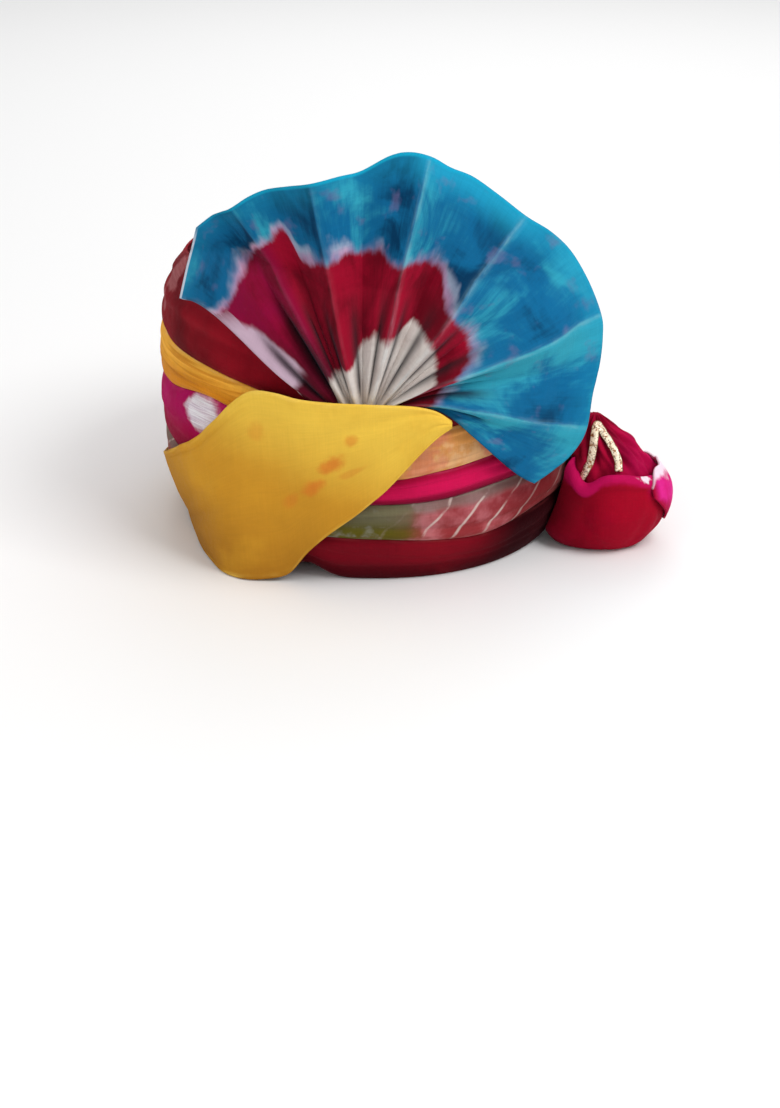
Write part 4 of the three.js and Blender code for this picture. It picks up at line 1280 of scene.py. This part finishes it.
def blue_dyed_cloth(paint):
    """The fan: blue, then an undyed ring, crimson, and an undyed centre at the gather."""
    place = paint.uv("place")
    fold, along, _ = paint.parts(place)
    feather = paint.noise(place, (100, 9), 4, 0.6)
    ragged = paint.noise(place, (24, 7))
    shifted = along + (feather * 0.04 + ragged * 0.08 - 0.06)

    def past(edge, value):
        """How far out past an edge of the dye a value lies."""
        return value - fold.curve([(at / LAST_FOLD, height) for at, height in edge])

    ridge, valley_shade, facet = (paint.mark(name) for name in ("ridge", "valley_shade", "facet"))
    cloudy = paint.noise(place, (12, 3.2), 4, 0.55, 0.8)
    mottled = paint.noise(place, (150, 4), 3, 0.6) * 0.4 + (cloudy * 2.0 - 1.2)
    # Painted light and shade across each pleat, lighter just past a ridge and darker before the next, with
    # random mottling
    facet_shade_and_mottling = facet * -0.6 + 0.85 + mottled
    blue_shade_and_mottling = facet_shade_and_mottling + (fold.curve(FAN_LIGHT) - 0.5)
    # The blue, lighter or darker by painted shade over the folds and across each pleat
    blue = blue_shade_and_mottling.dye(0.0, 0.5, (2, 50, 84), (12, 94, 138))
    blue = blue_shade_and_mottling.dye(0.5, 1.1, blue, (48, 152, 174))
    # Painted glow of light through the cloth near the edge
    blue = paint.mixed(along.between(0.84, 0.99) * fold.curve(FAN_GLOW), blue, (30, 150, 186))
    blue = paint.noise(place, (26, 8)).dye(0.58, 0.72, blue, (104, 96, 138), 0.4)
    # The crimson takes the same painted light and shade across each pleat
    crimson = facet_shade_and_mottling.dye(0.1, 0.9, (94, 2, 19), (146, 8, 38))
    pinker = fold.between(0.19, 0.24, 1.0, 0.0) * facet_shade_and_mottling.between(0.2, 0.8, 0.3, 1.0)
    crimson = paint.mixed(pinker, crimson, (128, 5, 52))
    # Painted shade on the crimson near the root, on the left
    root = along.between(0.16, 0.4, 1.0, 0.0) * fold.between(0.18, 0.26, 1.0, 0.0)
    crimson = paint.mixed(root, crimson, (84, 8, 30))
    beyond = past(CRIMSON_EDGE, shifted)
    pale = beyond.dye(0.01, 0.06, (206, 156, 184), (178, 186, 204))
    blotched = paint.noise(place, (24, 4))
    halo = past(HALO_EDGE, (blotched - 0.5) * -0.18 + shifted).between(-0.03, 0.035, 1.0, 0.0)
    uneven = blotched.between(0.34, 0.62, 0.25, 1.0) * fold.curve(HALO_SHOWN)
    colour = paint.mixed(halo * uneven, blue, pale)
    within = beyond.between(-0.022, 0.02, 1.0, 0.0)
    colour = paint.mixed(within, colour, crimson)
    side = ragged * 0.03 + (fold - 0.015) - along.curve(SIDE_PATCH)
    patch = side.between(-0.006, 0.006, 1.0, 0.0) * shifted.between(0.17, 0.24)
    colour = paint.mixed(patch * shifted.between(0.6, 0.86, 0.92, 0.1), colour, (198, 172, 190))
    centre = ragged.dye(0.3, 0.7, (186, 174, 168), (212, 204, 198))
    colour = paint.mixed(past(CENTRE_EDGE, shifted).between(-0.018, 0.018, 1.0, 0.0), colour, centre)
    # Worn dye along the ridges together with a painted highlight on them, less within the crimson
    worn = ridge * feather.between(0.35, 0.65, 0.08, 0.42) * (within * -0.55 + 1.0)
    colour = paint.mixed(worn * fold.curve(RIDGE_WEAR_AND_HIGHLIGHT), colour, (130, 172, 184))
    # Painted shade in the pleats' inner valleys near the gather
    colour = paint.mixed(valley_shade * 0.8, colour, (36, 26, 30))
    # Painted highlight along the rim
    colour = paint.mixed(along.between(0.98, 0.992) * fold.curve(FAN_RIM_GLOW), colour, (20, 160, 196))
    colour = paint.mixed(along.between(0.985, 0.992) * fold.curve(FAN_RIM_BARE), colour, (222, 226, 236))
    return paint.cloth(colour, (0.2, 0.6, 0.8, 1), roughness=0.72, crumple=0.8, streak=0.1)


def crimson_cloth(paint):
    """The cup: crimson, darker towards the hat by painted shadow, with a magenta rolled lip."""
    place = paint.place()
    round_it, down = paint.on_cloth()
    cloudy = paint.noise(place, 40.0, 4)
    # Darker towards the hat: painted shadow
    side = cloudy * 0.02 + paint.parts(place)[0]
    colour = side.dye(0.082, 0.13, (96, 3, 18), (158, 5, 34))
    colour = cloudy.dye(0.5, 0.7, colour, (138, 3, 36), 0.5)
    edge = paint.noise(place, 70.0, 4, 0.6) * 0.16 + (down - 0.03)
    edge = edge + round_it.between(-0.34, -0.27, 0.07, 0.0)
    colour = paint.mixed(edge.window(0.575, 0.65, 0.8, 0.94) * 0.85, colour, (187, 14, 84))
    by_flap = round_it.window(-0.16, -0.1, 0.14, 0.24) * edge.between(0.42, 0.6)
    colour = paint.mixed(by_flap, colour, (196, 16, 100))
    from_star = paint.length((round_it - STAR_AT[0]) * STAR_WIDE, down - STAR_AT[1])
    rays = paint.noise(place, (380, 380, 160), 2) * 0.08
    star = (rays + from_star).between(STAR_INNER, STAR_OUTER, 0.92, 0.0)
    colour = paint.mixed(star, colour, (228, 216, 226))
    colour = fade_edges(paint, colour, (196, 60, 90))
    return paint.cloth(colour, (0.9, 0.1, 0.3, 1), roughness=0.76)


def dark_red_cloth(paint):
    streaks = paint.noise(paint.uv("place"), (9, 2), 4)
    colour = streaks.dye(0.35, 0.6, (112, 4, 28), (160, 8, 48))
    colour = paint.parts(paint.place())[0].dye(0.104, 0.125, colour, (178, 10, 74), 0.6)
    return paint.cloth(colour, (0.9, 0.1, 0.3, 1))


def bright_magenta_cloth(paint):
    """Bright magenta, left white where it was tied."""
    along, up = paint.on_cloth()
    colour = paint.noise(paint.place(), 50.0, 4).dye(0.35, 0.65, (200, 16, 104), (212, 36, 134))
    ragged = paint.noise(paint.place(), 110.0, 4, 0.6)
    inner = along.between(0.0, 0.1).math("MINIMUM", along.between(0.75, 1.0, 1.0, 0.0))
    inner = inner.math("MINIMUM", (ragged * 0.4 + up).between(0.2, 0.6))
    colour = paint.mixed(inner, (160, 8, 50), colour)
    white = (ragged * 0.34 + up).between(0.95, 1.07) * along.between(0.0, 0.12, 0.5, 1.0)
    colour = paint.mixed(white * 0.9, colour, (232, 220, 230))
    return paint.cloth(colour, (0.9, 0.2, 0.6, 1), roughness=0.76)


def gold_ribbon(paint):
    """Flat metal thread woven over a brown ground, with painted highlights and painted shade along its edges.
    """
    thread = paint.uv("thread")
    across, along, _ = paint.parts(thread)
    ribs = (across * 5200.0 + along * 3600.0).math("SINE") * 0.5 + 0.5
    gaps = paint.noise(thread, 900.0, 3, 0.6)
    # Painted highlights: pale white-gold spots
    colour = paint.noise(thread, 420.0, 3, 0.6).dye(0.36, 0.52, (168, 112, 66), (255, 240, 212))
    colour = gaps.dye(0.55, 0.64, colour, (86, 46, 30))
    # Painted shade along both edges of the ribbon
    colour = abs(paint.on_cloth()[1] - 0.5).dye(0.36, 0.48, colour, (112, 60, 38), 0.8)
    inputs = {
        "Base Color": colour,
        "Metallic": 0.6,
        "Roughness": gaps.between(0.4, 0.7, 0.28, 0.6),
        "Normal": paint.bump(ribs, RIB_BUMP),
    }
    return paint.finish(inputs)


# Every piece with its finish

made = {}
for number, (name, under, top, profile, finish) in enumerate(LAYERS):
    made[name] = (band(name, under, top, profile, LAYER_SEED + number), finish)
made["crown"] = (crown_piece(), "crown_cloth")
made["front_sash"] = (sash_piece(), "yellow_cloth")
made["fan"] = (fan_piece(), "blue_dyed_cloth")
made["tail_roll"] = (roll_piece(), "crimson_cloth")
made["tail_tuck"] = (tuck_piece(), "dark_red_cloth")
made["tail_flap"] = (flap_piece(), "bright_magenta_cloth")
made["gold_trim"] = (gold_piece(), "gold_ribbon")
made["fan_gather"] = (gather_piece(), "dark_red_cloth")

DYERS = [
    crown_cloth, maroon_cloth, striped_cloth, magenta_cloth, amber_cloth, wine_cloth, yellow_cloth,
    blue_dyed_cloth, crimson_cloth, dark_red_cloth, bright_magenta_cloth, gold_ribbon,
]
materials = {dyer.__name__: dyer(Paint(dyer.__name__)) for dyer in DYERS}
for node, (shape, finish) in made.items():
    shape.name = node + "_cloth"
    shape.data.materials.append(materials[finish])
    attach(shape, "root")
    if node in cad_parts:
        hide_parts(node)

# The layers' cloth names, as a list that is not kept
[name + "_cloth" for name, *_ in LAYERS]

# The floor, the light and the camera, in metres

FLOOR_HALF = 12.0
FLOOR_CORNERS = [(x * FLOOR_HALF, y * FLOOR_HALF, 0) for x, y in [(-1, -1), (1, -1), (1, 1), (-1, 1)]]
floor_mesh = bpy.data.meshes.new("floor")
floor_mesh.from_pydata(FLOOR_CORNERS, [], [(0, 1, 2, 3)])
floor = bpy.data.objects.new("floor", floor_mesh)
bpy.context.scene.collection.objects.link(floor)
floor_mesh.materials.append(Paint("floor").finish({"Base Color": (0.86, 0.86, 0.86, 1), "Roughness": 0.9}))

# Each lamp's name, place, size and watts
LAMPS = [
    ("key", (0.75, -0.6, 1.25), 0.7, 13.0),
    ("fill", (-1.2, -1.0, 0.7), 1.4, 2.0),
    ("back", (0.2, 1.3, 1.2), 1.2, 7.0),
]
AIM = Vector((0, 0, 0.1))
for name, place, size, watts in LAMPS:
    lamp = bpy.data.lights.new(name, "AREA")
    lamp.size = size
    lamp.energy = watts
    lamp_object = bpy.data.objects.new(name, lamp)
    lamp_object.location = place
    lamp_object.rotation_euler = (Vector(place) - AIM).to_track_quat("Z", "Y").to_euler()
    bpy.context.scene.collection.objects.link(lamp_object)

WORLD_STRENGTH = 0.72
world = bpy.data.worlds.new("studio")
world.use_nodes = True
background = world.node_tree.nodes["Background"]
background.inputs["Color"].default_value = (1, 1, 1, 1)
background.inputs["Strength"].default_value = WORLD_STRENGTH
bpy.context.scene.world = world
bpy.context.scene.view_settings.view_transform = "Standard"

# The photograph's view, as a place about the hat's axis and the angles from there
CAMERA_PLACE = (0.0, -1.03366, 0.47622)
CAMERA_PITCH, CAMERA_TURN = 63.46, -0.454
CAMERA_LENS = 61.09
camera = bpy.data.objects.new("camera", bpy.data.cameras.new("camera"))
camera.data.lens = CAMERA_LENS
camera.location = np.array(CAMERA_PLACE) + HAT_AXIS
camera.rotation_euler = np.radians((CAMERA_PITCH, 0, CAMERA_TURN))
bpy.context.scene.collection.objects.link(camera)
bpy.context.scene.camera = camera
